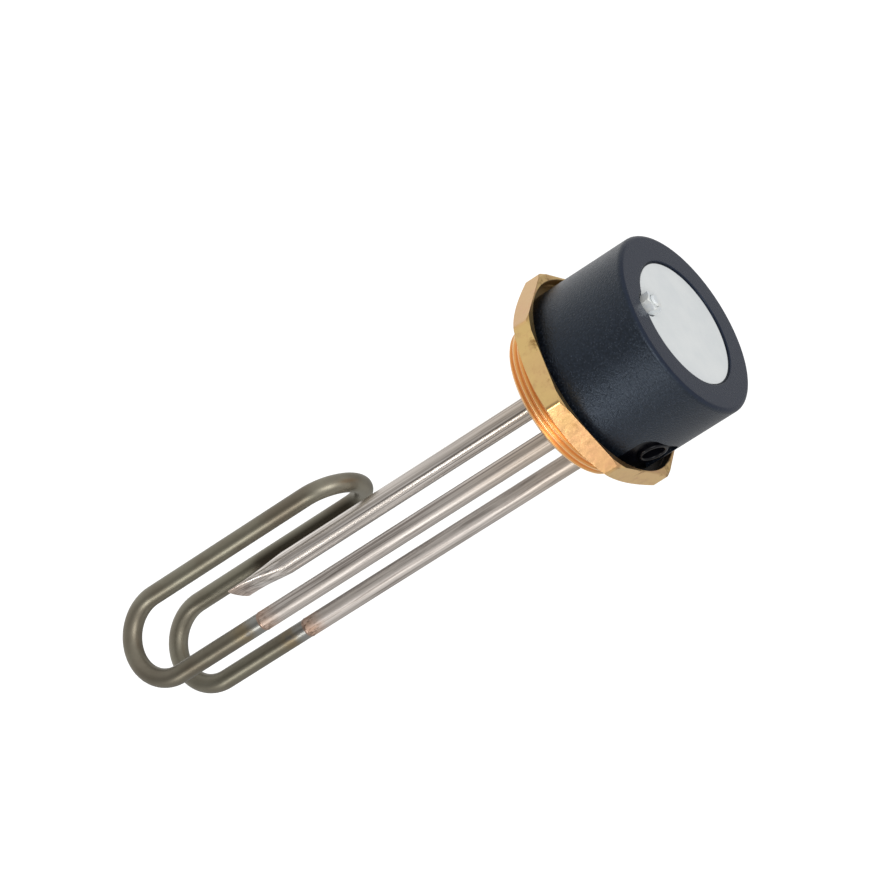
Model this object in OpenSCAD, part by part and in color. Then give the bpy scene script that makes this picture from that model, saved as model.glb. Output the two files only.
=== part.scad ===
// Screw plug immersion heater: brass plug, folded hairpin element, pocketed rod thermostat and moulded cap.
// Millimetres. The origin is the centre of the seat face under the flange, +Z runs out through the cap,
// the element hangs in -Z and the cable entry faces +X.

/* [Brass head] */
// Distance across the flats of the octagon flange
across_flats = 86; // [80:0.5:92]
// Height of the flange at its flats
flange_h = 9; // [7:0.5:11]
// How far the seat's edge lies inside the flats
seat_inset = 0.3; // [0.1:0.1:1.5]
// Slope of the turned chamfer on the flange's corners
corner_slope = 30; // [20:1:40]
// Depth of the turned chamfer at the flange's upper corners
top_corner_drop = 0.7; // [0.3:0.1:1.5]
// Amount that turning takes off each corner of the octagon
corner_turn = 0.35; // [0.1:0.05:0.8]
// Brass left between the counterbore and a flat
rim_wall = 0.9; // [0.7:0.1:2]
// Depth of the counterbore that takes the cap
counterbore_depth = 4.5; // [3:0.5:6]

/* [Thread] */
// Outside diameter of the pipe thread
thread_d = 65.71; // [62:0.01:70]
// Length of the threaded boss below the seat
thread_l = 12; // [10:0.5:20]
// Lead-in chamfer at the end of the boss
thread_lead = 1.2; // [0.6:0.1:1.6]
// Wall between the dish and the outside of the thread
dish_wall = 2.9; // [2.5:0.1:4]
// Thickness of the plug's floor
floor_t = 9; // [8:0.5:10]

/* [Element] */
// Diameter of the element sheath
sheath_d = 8; // [7:0.1:9]
// Distance of the cold legs from the plug's axis along X
leg_x = 17; // [15:0.5:18]
// Distance of each hairpin's plane from the middle along Y
loop_y = 15.3; // [14:0.1:17]
// Distance between a leg and its return
fold_w = 35.5; // [32:0.5:38]
// Depth of the element's lowest point below the seat
element_drop = 232; // [225:1:300]
// Depth of the top of the upper bend below the seat
top_bend_drop = 107.5; // [95:0.5:120]
// Depth of the joint between cold leg and sheath below the seat
cold_leg_drop = 165; // [150:1:175]
// Outside diameter of a cold leg
cold_leg_d = 8.2; // [7.8:0.1:9]
// Wall of a cold leg
cold_leg_wall = 0.9; // [0.7:0.1:1.1]
// Height of a cold leg above the dish's floor
cold_leg_stand = 5; // [3:0.5:6]
// Length of the sheath's spigot inside a cold leg
spigot_l = 10; // [6:1:15]

/* [Thermostat pocket] */
// Distance of the pocket from the plug's axis along X
pocket_x = -5.5; // [-7:0.5:-4]
// Outside diameter of the pocket
pocket_d = 9.4; // [9:0.1:11]
// Wall of the pocket
pocket_wall = 0.7; // [0.5:0.1:0.9]
// Room in the pocket below the thermostat's stem
stem_room = 3.5; // [1:0.5:12]
// Width of the flattened end
pinch_w = 15; // [12:0.5:16]
// Thickness of the flattened end
pinch_t = 2; // [1.6:0.1:3]
// Length over which the round tube turns flat
pinch_l = 24; // [10:0.5:30]
// Length of the flat tail
pinch_tail = 2.5; // [1:0.5:4]
// Height of the pocket above the dish's floor
pocket_stand = 3; // [1:0.5:4]

/* [Brazing] */
// Gap that the braze metal fills around a tube
braze_gap = 0.05; // [0.02:0.01:0.1]
// Size of the braze fillet under the head
fillet_size = 2; // [1:0.1:3]
// Thickness of the braze collar at a cold leg's end
collar_t = 0.3; // [0.2:0.05:0.6]
// Length of the braze collar
collar_l = 3.2; // [2:0.2:6]

/* [Cap] */
// Gap between the cap and the counterbore
cap_gap = 3.1; // [0.5:0.1:4]
// Height of the cap's top above the flange
cap_rise = 40.5; // [38:0.5:60]
// Wall of the cap
cap_wall = 2.4; // [1.8:0.1:3.5]
// Thickness of the cap's roof under the recess
cap_roof = 2.4; // [1.8:0.1:4]
// Rounding of the cap's top edge
cap_edge_r = 2; // [0.5:0.1:3]
// Diameter of the round recess in the cap's top
recess_d = 54.4; // [50:0.2:60]
// Depth of the recess
recess_depth = 1; // [0.6:0.1:2]
// Radius of the scallop that clears the nut
scallop_r = 6.2; // [5.5:0.1:7]
// Radius of the boss around the stud inside the cap
stud_boss_r = 5; // [4:0.1:6]
// Length of the boss around the stud
stud_boss_l = 9; // [5:0.5:12]

/* [Cable entry] */
// Width of the arched entry
entry_w = 24; // [20:0.5:28]
// Height of the arch above the flange
entry_rise = 13.5; // [12.5:0.5:18]
// Rounding of the arch's upper corners
entry_corner_r = 6; // [3:0.5:9]
// Diameter of the hole for the cable
cable_hole_d = 9; // [7:0.5:10.5]
// Wall of the round lip around the cable hole
lip_wall = 1.8; // [1.2:0.1:2.2]
// Height of the cable hole's centre above the flange
cable_rise = 6.5; // [6.5:0.1:8]
// How far the grommet lies back from the cap's outside
grommet_recess = 1.6; // [1:0.1:2]
// How far the lip stands out of the grommet
lip_stand = 1.4; // [0.6:0.1:1.6]
// Overlap of the grommet's flange behind the cap's wall
grommet_overlap = 2; // [1:0.1:3]
// Thickness of the grommet's flange at its middle
grommet_flange_t = 2.6; // [2:0.1:3.5]
// Clearance of the grommet in the entry
grommet_fit = 0.15; // [0.05:0.05:0.3]

/* [Label] */
// Gap between the label's edge and the recess
label_gap = 0.8; // [0.2:0.1:2]
// Thickness of the label
label_t = 0.25; // [0.15:0.05:0.5]

/* [Cap stud] */
// Place of the stud along X
stud_x = -4; // [-7:0.5:-1]
// Place of the stud along Y
stud_y = -24.2; // [-25:0.1:-22]
// Diameter of the stud
stud_d = 5; // [4:0.5:6]
// Depth of the stud in the plug's floor
stud_seat = 7; // [5:0.5:7.5]
// Stud end that shows above its nut
stud_end = 0.9; // [0.5:0.1:2]
// Distance across the flats of the cap nut
cap_nut_af = 8; // [7:0.5:9]
// Height of the cap nut
cap_nut_h = 4; // [3:0.1:5]
// Turn of the cap nut about its own axis
cap_nut_turn = 12; // [-30:1:30]
// Clearance of the stud in the cap's hole
stud_hole_fit = 0.25; // [0.1:0.05:0.5]
// Clearance that stands for a screw thread's flanks
screw_fit = 0.05; // [0.02:0.01:0.1]

/* [Terminals] */
// Diameter of a terminal pin
pin_d = 4; // [3.5:0.1:4.5]
// Length of a terminal pin inside its cold leg
pin_tail = 22; // [10:1:40]
// Distance across the flats of a terminal nut
pin_nut_af = 7; // [6.5:0.1:8]
// Height of a terminal nut
pin_nut_h = 3.2; // [2.4:0.1:4]
// Radius of a terminal washer
pin_washer_r = 4.4; // [4:0.1:4.8]
// Thickness of washers, straps and plates
sheet_t = 0.8; // [0.6:0.1:1]
// Pin end above its top nut
pin_end = 1.5; // [0.5:0.5:3]
// Depth of the end seal's plug in the cold leg
seal_plug_l = 6; // [3:0.5:10]
// Clearance of the end seal in the cold leg and on its pin
seal_fit = 0.08; // [0.05:0.01:0.15]

/* [Thermostat] */
// Length of the thermostat base along X
base_l = 34; // [30:0.5:36]
// Width of the thermostat base along Y
base_w = 28; // [24:0.5:30]
// Height of the thermostat base
base_h = 12; // [10:0.5:14]
// Distance from the pocket's axis to the base's end by the terminals
base_front = 15.5; // [14:0.5:16]
// Length of the cover along X
cover_l = 23; // [21:0.5:24]
// Height of the cover
cover_h = 12; // [11:0.5:13]
// Rounding of the base's and the cover's corners
case_corner_r = 2.5; // [1:0.5:4]
// Inset of the cover from the base
cover_inset = 0.6; // [0.3:0.1:1.5]
// Thickness of the barrier between the terminals
barrier_t = 1.8; // [1.2:0.1:2.5]
// Height of the barrier between the terminals
barrier_h = 6; // [4:0.5:8]
// Distance of a terminal screw from the middle along Y
screw_y = 8; // [7:0.5:9]
// Distance of a terminal screw from the base's end
screw_back = 4.5; // [4:0.1:5]
// Radius of a terminal screw's head
screw_head_r = 3; // [2.5:0.1:3.4]
// Height of a terminal screw's head
screw_head_h = 2; // [1.6:0.1:2.4]
// Radius of a terminal screw's shank
screw_r = 1.75; // [1.5:0.05:2]
// Length of a terminal screw's shank
screw_l = 7; // [5:0.5:8]
// Width of the driver slots
slot_w = 0.9; // [0.7:0.1:1.2]
// Depth of the driver slots
slot_depth = 1; // [0.6:0.1:1.2]
// Diameter of the thermostat's stem
stem_d = 7; // [6.5:0.1:7.4]
// Length of the thermostat's stem
stem_l = 151; // [140:1:164]
// Width of the link strap between its eyes
strap_w = 5; // [4:0.5:6]
// Radius of the link strap's eyes
strap_eye_r = 3.5; // [3.2:0.1:3.8]

/* [Dial and reset button] */
// Radius of the temperature dial
dial_r = 4.8; // [4:0.1:5.5]
// Height of the temperature dial
dial_h = 2.4; // [2:0.1:3.5]
// Distance of the dial from the middle along Y
dial_y = 5.4; // [5:0.1:6]
// Radius of the dial's shaft
dial_shaft_r = 2; // [1.5:0.1:2.5]
// Length of the dial's shaft inside the cover
dial_shaft_l = 7; // [5:0.5:8]
// Gap under the dial
dial_gap = 0.3; // [0.2:0.1:0.6]
// Radius of the reset button
button_r = 2.2; // [1.8:0.1:2.4]
// Distance of the reset button from the middle along Y
button_y = -7.6; // [-8:0.1:-7]
// Height of the button above the cover
button_stand = 1.8; // [1.6:0.1:2.5]
// Travel of the button
button_travel = 1.5; // [1:0.1:1.5]
// Width of the button's collar beyond its stem
button_collar = 0.8; // [0.5:0.1:1]
// Thickness of the button's collar
button_collar_t = 1; // [0.8:0.1:1.4]
// Cover left above the button's chamber
button_roof = 5; // [4:0.5:6]
// Running clearance of dial shaft and button
running_fit = 0.06; // [0.03:0.01:0.1]
// Clearance around the button's collar
collar_fit = 0.4; // [0.3:0.1:0.6]

/* [Earth terminal] */
// Place of the earth screw along X
earth_x = -4; // [-7:0.5:-1]
// Place of the earth screw along Y
earth_y = 23.8; // [22:0.1:24]
// Radius of the earth screw's shank
earth_r = 2; // [1.5:0.1:2.2]
// Radius of the earth screw's head
earth_head_r = 3.9; // [3.5:0.1:4.1]
// Height of the earth screw's head
earth_head_h = 2.6; // [2:0.1:3]
// Length of the earth screw's shank in the floor
earth_seat = 6; // [4:0.5:7]
// Radius of the earth washer
earth_washer_r = 4.5; // [4.2:0.1:4.8]

/* [Hidden] */

$fn = 96;
flats = 8;
hex = 6;
past = 1;                                   // how far a cutter runs past a face

corner_r = across_flats / 2 / cos(180 / flats);
counterbore_r = across_flats / 2 - rim_wall;
counterbore_z = flange_h - counterbore_depth;
thread_r = thread_d / 2;
dish_r = thread_r - dish_wall;
dish_z = floor_t - thread_l;

sheath_r = sheath_d / 2;
leg_r = cold_leg_d / 2;
leg_bore_r = leg_r - cold_leg_wall;
leg_top_z = dish_z + cold_leg_stand;
bend_r = fold_w / 2;
bend_z = sheath_r + bend_r - element_drop;
top_bend_z = -top_bend_drop - sheath_r - loop_y;
return_x = leg_x - fold_w;
sides = [-1, 1];

pocket_r = pocket_d / 2;
pocket_bore_r = pocket_r - pocket_wall;
pocket_top_z = dish_z + pocket_stand;
pinch_top_z = pocket_top_z - stem_l - stem_room;
pocket_end_z = pinch_top_z - pinch_l - pinch_tail;

cap_r = counterbore_r - cap_gap;
cap_in_r = cap_r - cap_wall;
cap_top_z = flange_h + cap_rise;
recess_r = recess_d / 2;
recess_z = cap_top_z - recess_depth;
roof_z = recess_z - cap_roof;
stud_r = stud_d / 2;
cap_nut_r = cap_nut_af / 2 / cos(180 / hex);
cap_nut_top_z = recess_z + cap_nut_h;

entry_h = flange_h + entry_rise - counterbore_z;
cable_z = flange_h + cable_rise;
cable_r = cable_hole_d / 2;
grommet_r = cap_r - grommet_recess;
grommet_back_x = cap_in_r - grommet_overlap - grommet_flange_t;
lip_front_x = grommet_r + lip_stand;

base_z = pocket_top_z;
deck_z = base_z + base_h;
base_x = pocket_x + base_front - base_l;
cover_z = deck_z + cover_h;
cover_x = base_x + cover_l / 2;
screw_x = base_x + base_l - screw_back;
pin_r = pin_d / 2;
pin_nut_r = pin_nut_af / 2 / cos(180 / hex);
pin_stack_z = deck_z + 2 * sheet_t;
pin_top_z = pin_stack_z + pin_nut_h + pin_end;
seal_top_z = deck_z - pin_nut_h;
dial_z = cover_z + dial_gap;
chamber_z = cover_z - button_roof;

// Hexagon nut blank with both rims turned, standing on z = 0
module nut(circum_r, height, bore_r) {
    rim = circum_r * (1 - cos(180 / hex));
    drop = rim * tan(corner_slope);
    difference() {
        intersection() {
            cylinder(r = circum_r, h = height, $fn = hex);
            rotate_extrude()
                polygon([
                    [0, 0], [circum_r - rim, 0], [circum_r, drop],
                    [circum_r, height - drop], [circum_r - rim, height], [0, height]
                ]);
        }
        translate([0, 0, -past]) cylinder(r = bore_r, h = height + 2 * past);
    }
}

// Flat washer standing on z = 0
module washer(outer_r, bore_r, thickness) {
    difference() {
        cylinder(r = outer_r, h = thickness);
        translate([0, 0, -past]) cylinder(r = bore_r, h = thickness + 2 * past);
    }
}

// Slotted cheese-head screw with its head standing on z = 0
module slotted_screw(head_r, head_h, shank_r, shank_l) {
    difference() {
        union() {
            cylinder(r = head_r, h = head_h);
            translate([0, 0, -shank_l]) cylinder(r = shank_r, h = shank_l);
        }
        translate([-slot_w / 2, -head_r - past, head_h - slot_depth])
            cube([slot_w, 2 * (head_r + past), slot_depth + past]);
    }
}

// Arch outline with a flat foot on y = 0 and rounded upper corners
module arch(width, height, corner) {
    translate([-width / 2, 0]) square([width, height - corner]);
    translate([corner - width / 2, 0]) square([width - 2 * corner, height]);
    for (side = sides)
        translate([side * (width / 2 - corner), height - corner]) circle(corner);
}

// Upright case with rounded vertical corners, centred on the origin and standing on z = 0
module rounded_case(length, width, height, corner) {
    translate([-length / 2, corner - width / 2, 0]) cube([length, width - 2 * corner, height]);
    translate([corner - length / 2, -width / 2, 0]) cube([length - 2 * corner, width, height]);
    for (x = sides, y = sides)
        translate([x * (length / 2 - corner), y * (width / 2 - corner), 0]) cylinder(r = corner, h = height);
}

// Half ring of tube that lies in the XY plane on its +Y side
module half_bend(ring_r, tube_r) {
    rotate_extrude(angle = 180) translate([ring_r, 0]) circle(tube_r);
}

// Octagon flange with its corners turned on the seat side, the top side and the outside
module flange_blank() {
    seat_r = across_flats / 2 - seat_inset;
    turned_r = corner_r - corner_turn;
    seat_rise = (turned_r - seat_r) * tan(corner_slope);
    top_r = turned_r - top_corner_drop / tan(corner_slope);
    intersection() {
        rotate([0, 0, 180 / flats]) cylinder(r = corner_r, h = flange_h, $fn = flats);
        rotate_extrude()
            polygon([
                [0, 0], [seat_r, 0], [turned_r, seat_rise],
                [turned_r, flange_h - top_corner_drop], [top_r, flange_h], [0, flange_h]
            ]);
    }
}

module brass_head() {
    color([0.80, 0.62, 0.34])
    difference() {
        union() {
            flange_blank();
            translate([0, 0, -thread_l]) {
                cylinder(r1 = thread_r - thread_lead, r2 = thread_r, h = thread_lead);
                translate([0, 0, thread_lead]) cylinder(r = thread_r, h = thread_l - thread_lead);
            }
        }
        translate([0, 0, counterbore_z]) cylinder(r = counterbore_r, h = counterbore_depth + past);
        translate([0, 0, dish_z]) cylinder(r = dish_r, h = counterbore_z - dish_z + past);
        for (side = sides)
            translate([leg_x, side * loop_y, -thread_l - past])
                cylinder(r = leg_r + braze_gap, h = floor_t + 2 * past);
        translate([pocket_x, 0, -thread_l - past]) cylinder(r = pocket_r + braze_gap, h = floor_t + 2 * past);
        translate([stud_x, stud_y, dish_z - stud_seat]) cylinder(r = stud_r + screw_fit, h = stud_seat + past);
        translate([earth_x, earth_y, dish_z - earth_seat]) cylinder(r = earth_r + screw_fit, h = earth_seat + past);
    }
}

// Cap wall and roof as one turned outline
module cap_profile() {
    height = cap_top_z - counterbore_z;
    translate([0, counterbore_z])
    difference() {
        union() {
            square([cap_r, height - cap_edge_r]);
            square([cap_r - cap_edge_r, height]);
            translate([cap_r - cap_edge_r, height - cap_edge_r]) circle(cap_edge_r);
        }
        translate([-past, -past]) square([cap_in_r + past, roof_z - counterbore_z + past]);
        translate([-cap_r, 0]) square([cap_r, height]);
    }
}

module cap() {
    color([0.19, 0.20, 0.22])
    difference() {
        union() {
            rotate_extrude() cap_profile();
            translate([stud_x, stud_y, roof_z - stud_boss_l]) cylinder(r = stud_boss_r, h = stud_boss_l);
        }
        translate([0, 0, recess_z]) cylinder(r = recess_r, h = recess_depth + past);
        translate([stud_x, stud_y, recess_z]) cylinder(r = scallop_r, h = recess_depth + past);
        translate([stud_x, stud_y, roof_z - stud_boss_l - past])
            cylinder(r = stud_r + stud_hole_fit, h = stud_boss_l + cap_roof + 2 * past);
        translate([grommet_back_x, 0, counterbore_z])
            rotate([90, 0, 90])
            linear_extrude(cap_r) {
                arch(entry_w, entry_h, entry_corner_r);
                translate([-entry_w / 2, -past]) square([entry_w, 2 * past]);
            }
    }
}

module rating_label() {
    color([0.88, 0.89, 0.90])
    translate([0, 0, recess_z])
    difference() {
        cylinder(r = recess_r - label_gap, h = label_t);
        translate([stud_x, stud_y, -past]) cylinder(r = scallop_r - label_gap, h = label_t + 2 * past);
    }
}

module cap_nut() {
    color([0.80, 0.81, 0.82])
    translate([stud_x, stud_y, recess_z])
    rotate([0, 0, cap_nut_turn])
    nut(cap_nut_r, cap_nut_h, stud_r + screw_fit);
}

module cap_stud() {
    color([0.74, 0.75, 0.76])
    translate([stud_x, stud_y, dish_z - stud_seat])
    cylinder(r = stud_r, h = cap_nut_top_z + stud_end - dish_z + stud_seat);
}

// Arched slab of the grommet, kept inside a turned surface and cut flat at its back
module grommet_slab(width, height, corner, outer_r) {
    intersection() {
        translate([grommet_back_x, 0, counterbore_z])
            rotate([90, 0, 90])
            linear_extrude(cap_r) arch(width, height, corner);
        translate([0, 0, counterbore_z - past]) cylinder(r = outer_r, h = cap_top_z);
    }
}

module cable_grommet() {
    flange_w = entry_w + 2 * grommet_overlap;
    flange_top = entry_h + grommet_overlap;
    flange_corner = entry_corner_r + grommet_overlap;
    color([0.06, 0.06, 0.07])
    difference() {
        union() {
            grommet_slab(flange_w, flange_top, flange_corner, cap_in_r - grommet_fit);
            grommet_slab(entry_w - 2 * grommet_fit, entry_h - grommet_fit, entry_corner_r - grommet_fit, grommet_r);
            translate([grommet_back_x, 0, cable_z])
                rotate([0, 90, 0])
                cylinder(r = cable_r + lip_wall, h = lip_front_x - grommet_back_x);
        }
        translate([grommet_back_x - past, 0, cable_z]) rotate([0, 90, 0]) cylinder(r = cable_r, h = cap_r);
    }
}

module thermostat_pocket() {
    thin = 0.05;
    color([0.76, 0.74, 0.72])
    translate([pocket_x, 0, 0]) {
        difference() {
            translate([0, 0, pinch_top_z]) cylinder(r = pocket_r, h = pocket_top_z - pinch_top_z);
            translate([0, 0, pinch_top_z]) cylinder(r = pocket_bore_r, h = pocket_top_z - pinch_top_z + past);
        }
        hull() {
            translate([0, 0, pinch_top_z - thin]) cylinder(r = pocket_r, h = thin, $fn = 64);
            pinch_tail_slab();
        }
    }
}

// Flat tail at the end of the pocket, with round edges
module pinch_tail_slab() {
    edge_r = pinch_t / 2;
    translate([0, 0, pocket_end_z]) {
        translate([-edge_r, edge_r - pinch_w / 2, 0]) cube([pinch_t, pinch_w - pinch_t, pinch_tail]);
        for (side = sides)
            translate([0, side * (pinch_w / 2 - edge_r), 0]) cylinder(r = edge_r, h = pinch_tail, $fn = 24);
    }
}

module cold_leg(side) {
    length = leg_top_z + cold_leg_drop;
    color([0.74, 0.72, 0.70])
    translate([leg_x, side * loop_y, -cold_leg_drop])
    difference() {
        cylinder(r = leg_r, h = length);
        translate([0, 0, -past]) cylinder(r = leg_bore_r, h = length + 2 * past);
    }
}

module cold_leg_near() { cold_leg(-1); }

module cold_leg_far() { cold_leg(1); }

module braze_collars() {
    inner_r = max(leg_r, sheath_r) + braze_gap;
    color([0.72, 0.50, 0.36])
    for (side = sides)
        translate([leg_x, side * loop_y, -cold_leg_drop])
        rotate_extrude()
        polygon([
            [inner_r, -collar_l / 2], [inner_r + collar_t, -collar_l / 4],
            [inner_r + collar_t, collar_l / 4], [inner_r, collar_l / 2]
        ]);
}

// One hairpin: leg, lower bend and return
module hairpin(side) {
    translate([leg_x, side * loop_y, bend_z]) cylinder(r = sheath_r, h = -cold_leg_drop - bend_z);
    translate([leg_x, side * loop_y, -cold_leg_drop]) cylinder(r = leg_bore_r - braze_gap, h = spigot_l);
    translate([leg_x - bend_r, side * loop_y, bend_z]) rotate([-90, 0, 0]) half_bend(bend_r, sheath_r);
    translate([return_x, side * loop_y, bend_z]) cylinder(r = sheath_r, h = top_bend_z - bend_z);
}

module element_sheath() {
    color([0.36, 0.34, 0.28]) {
        for (side = sides) hairpin(side);
        translate([return_x, 0, top_bend_z]) rotate([90, 0, 90]) half_bend(loop_y, sheath_r);
    }
}

// Hollow-faced ring of braze metal that hangs under the head around a tube
module braze_fillet(tube_r) {
    inner_r = tube_r + braze_gap;
    rotate_extrude()
    translate([inner_r, 0])
    difference() {
        translate([0, -fillet_size]) square(fillet_size);
        translate([fillet_size, -fillet_size]) circle(fillet_size - braze_gap);
    }
}

module braze_fillets() {
    color([0.78, 0.70, 0.55])
    translate([0, 0, -thread_l]) {
        for (side = sides) translate([leg_x, side * loop_y, 0]) braze_fillet(leg_r);
        translate([pocket_x, 0, 0]) braze_fillet(pocket_r);
    }
}

module terminal_pin(side) {
    color([0.76, 0.76, 0.75])
    translate([leg_x, side * loop_y, leg_top_z - pin_tail])
    cylinder(r = pin_r, h = pin_top_z - leg_top_z + pin_tail);
}

module terminal_pin_near() { terminal_pin(-1); }

module terminal_pin_far() { terminal_pin(1); }

// Insulating bead with a plug that enters the cold leg
module end_seal(side) {
    color([0.86, 0.84, 0.80])
    translate([leg_x, side * loop_y, leg_top_z])
    difference() {
        union() {
            cylinder(r = leg_r, h = seal_top_z - leg_top_z);
            translate([0, 0, -seal_plug_l]) cylinder(r = leg_bore_r - seal_fit, h = seal_plug_l);
        }
        translate([0, 0, -seal_plug_l - past])
            cylinder(r = pin_r + seal_fit, h = seal_top_z - leg_top_z + seal_plug_l + 2 * past);
    }
}

module end_seal_near() { end_seal(-1); }

module end_seal_far() { end_seal(1); }

module terminal_nuts() {
    color([0.80, 0.68, 0.42])
    for (side = sides, z = [seal_top_z, pin_stack_z])
        translate([leg_x, side * loop_y, z]) nut(pin_nut_r, pin_nut_h, pin_r + screw_fit);
}

module terminal_washers() {
    color([0.78, 0.77, 0.74]) {
        for (side = sides)
            translate([leg_x, side * loop_y, deck_z + sheet_t]) washer(pin_washer_r, pin_r + screw_fit, sheet_t);
        translate([leg_x, -loop_y, deck_z]) washer(pin_washer_r, pin_r + screw_fit, sheet_t);
    }
}

// Flat strip with an eye at each end, from the thermostat's outgoing terminal to the far element pin
module link_strap() {
    run = [leg_x - screw_x, loop_y - screw_y];
    reach = norm(run);
    color([0.79, 0.62, 0.33])
    translate([screw_x, screw_y, deck_z])
    rotate([0, 0, atan2(run.y, run.x)])
    difference() {
        union() {
            cylinder(r = strap_eye_r, h = sheet_t);
            translate([reach, 0, 0]) cylinder(r = strap_eye_r, h = sheet_t);
            translate([0, -strap_w / 2, 0]) cube([reach, strap_w, sheet_t]);
        }
        translate([0, 0, -past]) cylinder(r = screw_r + screw_fit, h = sheet_t + 2 * past);
        translate([reach, 0, -past]) cylinder(r = pin_r + screw_fit, h = sheet_t + 2 * past);
    }
}

module line_plate() {
    color([0.79, 0.62, 0.33])
    translate([screw_x, -screw_y, deck_z])
    difference() {
        translate([-strap_eye_r, -strap_eye_r, 0]) cube([2 * strap_eye_r, 2 * strap_eye_r, sheet_t]);
        translate([0, 0, -past]) cylinder(r = screw_r + screw_fit, h = sheet_t + 2 * past);
    }
}

module terminal_screws() {
    color([0.80, 0.66, 0.36])
    for (side = sides)
        translate([screw_x, side * screw_y, deck_z + sheet_t])
        slotted_screw(screw_head_r, screw_head_h, screw_r, screw_l);
}

module thermostat_base() {
    color([0.13, 0.12, 0.11])
    difference() {
        union() {
            translate([base_x + base_l / 2, 0, base_z]) rounded_case(base_l, base_w, base_h, case_corner_r);
            translate([base_x + cover_l, -barrier_t / 2, deck_z]) cube([base_l - cover_l, barrier_t, barrier_h]);
        }
        for (side = sides)
            translate([screw_x, side * screw_y, deck_z + sheet_t - screw_l - past])
            cylinder(r = screw_r + screw_fit, h = screw_l + 2 * past);
    }
}

module thermostat_cover() {
    color([0.85, 0.84, 0.80])
    difference() {
        translate([cover_x, 0, deck_z])
            rounded_case(cover_l - 2 * cover_inset, base_w - 2 * cover_inset, cover_h, case_corner_r);
        translate([cover_x, dial_y, cover_z - dial_shaft_l - dial_gap])
            cylinder(r = dial_shaft_r + running_fit, h = dial_shaft_l + dial_gap + past);
        translate([cover_x, button_y, deck_z - past]) {
            cylinder(r = button_r + running_fit, h = cover_h + 2 * past);
            cylinder(r = button_r + button_collar + collar_fit, h = chamber_z - deck_z + past);
        }
    }
}

module thermostat_stem() {
    color([0.72, 0.55, 0.38])
    translate([pocket_x, 0, base_z - stem_l])
    rotate_extrude()
    union() {
        translate([0, stem_d / 4]) square([stem_d / 2, stem_l - stem_d / 4]);
        square([stem_d / 4, stem_l]);
        intersection() {
            translate([stem_d / 4, stem_d / 4]) circle(stem_d / 4);
            square(stem_d / 2);
        }
    }
}

module temperature_dial() {
    color([0.70, 0.12, 0.10])
    translate([cover_x, dial_y, dial_z])
    difference() {
        union() {
            cylinder(r = dial_r, h = dial_h);
            translate([0, 0, -dial_shaft_l]) cylinder(r = dial_shaft_r, h = dial_shaft_l);
        }
        translate([-slot_w / 2, -dial_r / 2, dial_h - slot_depth]) cube([slot_w, dial_r, slot_depth + past]);
        translate([-slot_w / 2, dial_r - slot_w, -past]) cube([slot_w, 2 * slot_w, dial_h + 2 * past]);
    }
}

module reset_button() {
    collar_z = chamber_z - collar_fit - button_collar_t;
    color([0.78, 0.10, 0.08])
    translate([cover_x, button_y, 0]) {
        translate([0, 0, collar_z]) cylinder(r = button_r, h = cover_z + button_stand - collar_z);
        translate([0, 0, collar_z]) cylinder(r = button_r + button_collar, h = button_collar_t);
    }
}

module earth_screw() {
    color([0.80, 0.66, 0.36])
    translate([earth_x, earth_y, dish_z + sheet_t])
    slotted_screw(earth_head_r, earth_head_h, earth_r, earth_seat);
}

module earth_washer() {
    color([0.78, 0.77, 0.74])
    translate([earth_x, earth_y, dish_z]) washer(earth_washer_r, earth_r + screw_fit, sheet_t);
}

brass_head();
cap();
rating_label();
cap_nut();
cap_stud();
cable_grommet();
thermostat_pocket();
cold_leg_near();
cold_leg_far();
braze_collars();
element_sheath();
braze_fillets();
terminal_pin_near();
terminal_pin_far();
end_seal_near();
end_seal_far();
terminal_nuts();
terminal_washers();
link_strap();
line_plate();
terminal_screws();
thermostat_base();
thermostat_cover();
thermostat_stem();
temperature_dial();
reset_button();
earth_screw();
earth_washer();
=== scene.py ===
"""Looks of a screw plug immersion heater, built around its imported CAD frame.

The origin is the centre of the seat face under the flange, +Z runs out through the cap, the element hangs
in -Z and the cable entry faces +X. Pieces are shaped in millimetres and dressed in metres.
"""
import logging
import math
from contextlib import contextmanager
from dataclasses import dataclass
from enum import Enum
from typing import Callable, Iterator, Sequence

import bpy
from mathutils import Matrix, Vector


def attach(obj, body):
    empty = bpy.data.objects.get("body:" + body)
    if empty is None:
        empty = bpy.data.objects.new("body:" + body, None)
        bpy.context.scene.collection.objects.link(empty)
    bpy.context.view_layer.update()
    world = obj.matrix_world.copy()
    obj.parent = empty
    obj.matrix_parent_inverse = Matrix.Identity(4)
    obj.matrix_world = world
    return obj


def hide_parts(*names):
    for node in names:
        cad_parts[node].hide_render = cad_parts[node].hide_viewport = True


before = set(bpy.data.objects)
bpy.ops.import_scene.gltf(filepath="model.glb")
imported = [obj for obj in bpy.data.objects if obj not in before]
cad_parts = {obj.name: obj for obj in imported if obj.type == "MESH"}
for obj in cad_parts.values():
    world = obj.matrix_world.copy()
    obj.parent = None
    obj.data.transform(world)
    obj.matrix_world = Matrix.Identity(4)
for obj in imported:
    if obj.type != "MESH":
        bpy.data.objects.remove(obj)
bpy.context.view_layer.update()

LOG = logging.getLogger("immersion_heater")

Point = tuple[float, float]
Tone = tuple[int, int, int]
Value = object  # a number, a colour, a setting or a signal

MM = 0.001  # a millimetre in metres
WELD = 1e-4  # points closer than this become one
PAST = 1.0  # how far a tool reaches past what it cuts
RUN_OUT = 1.5  # turns that a thread is wound past each end before it is cut to length
CREASE = 30.0  # edges sharper than this many degrees stay sharp
SIDES = (-1, 1)

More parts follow.
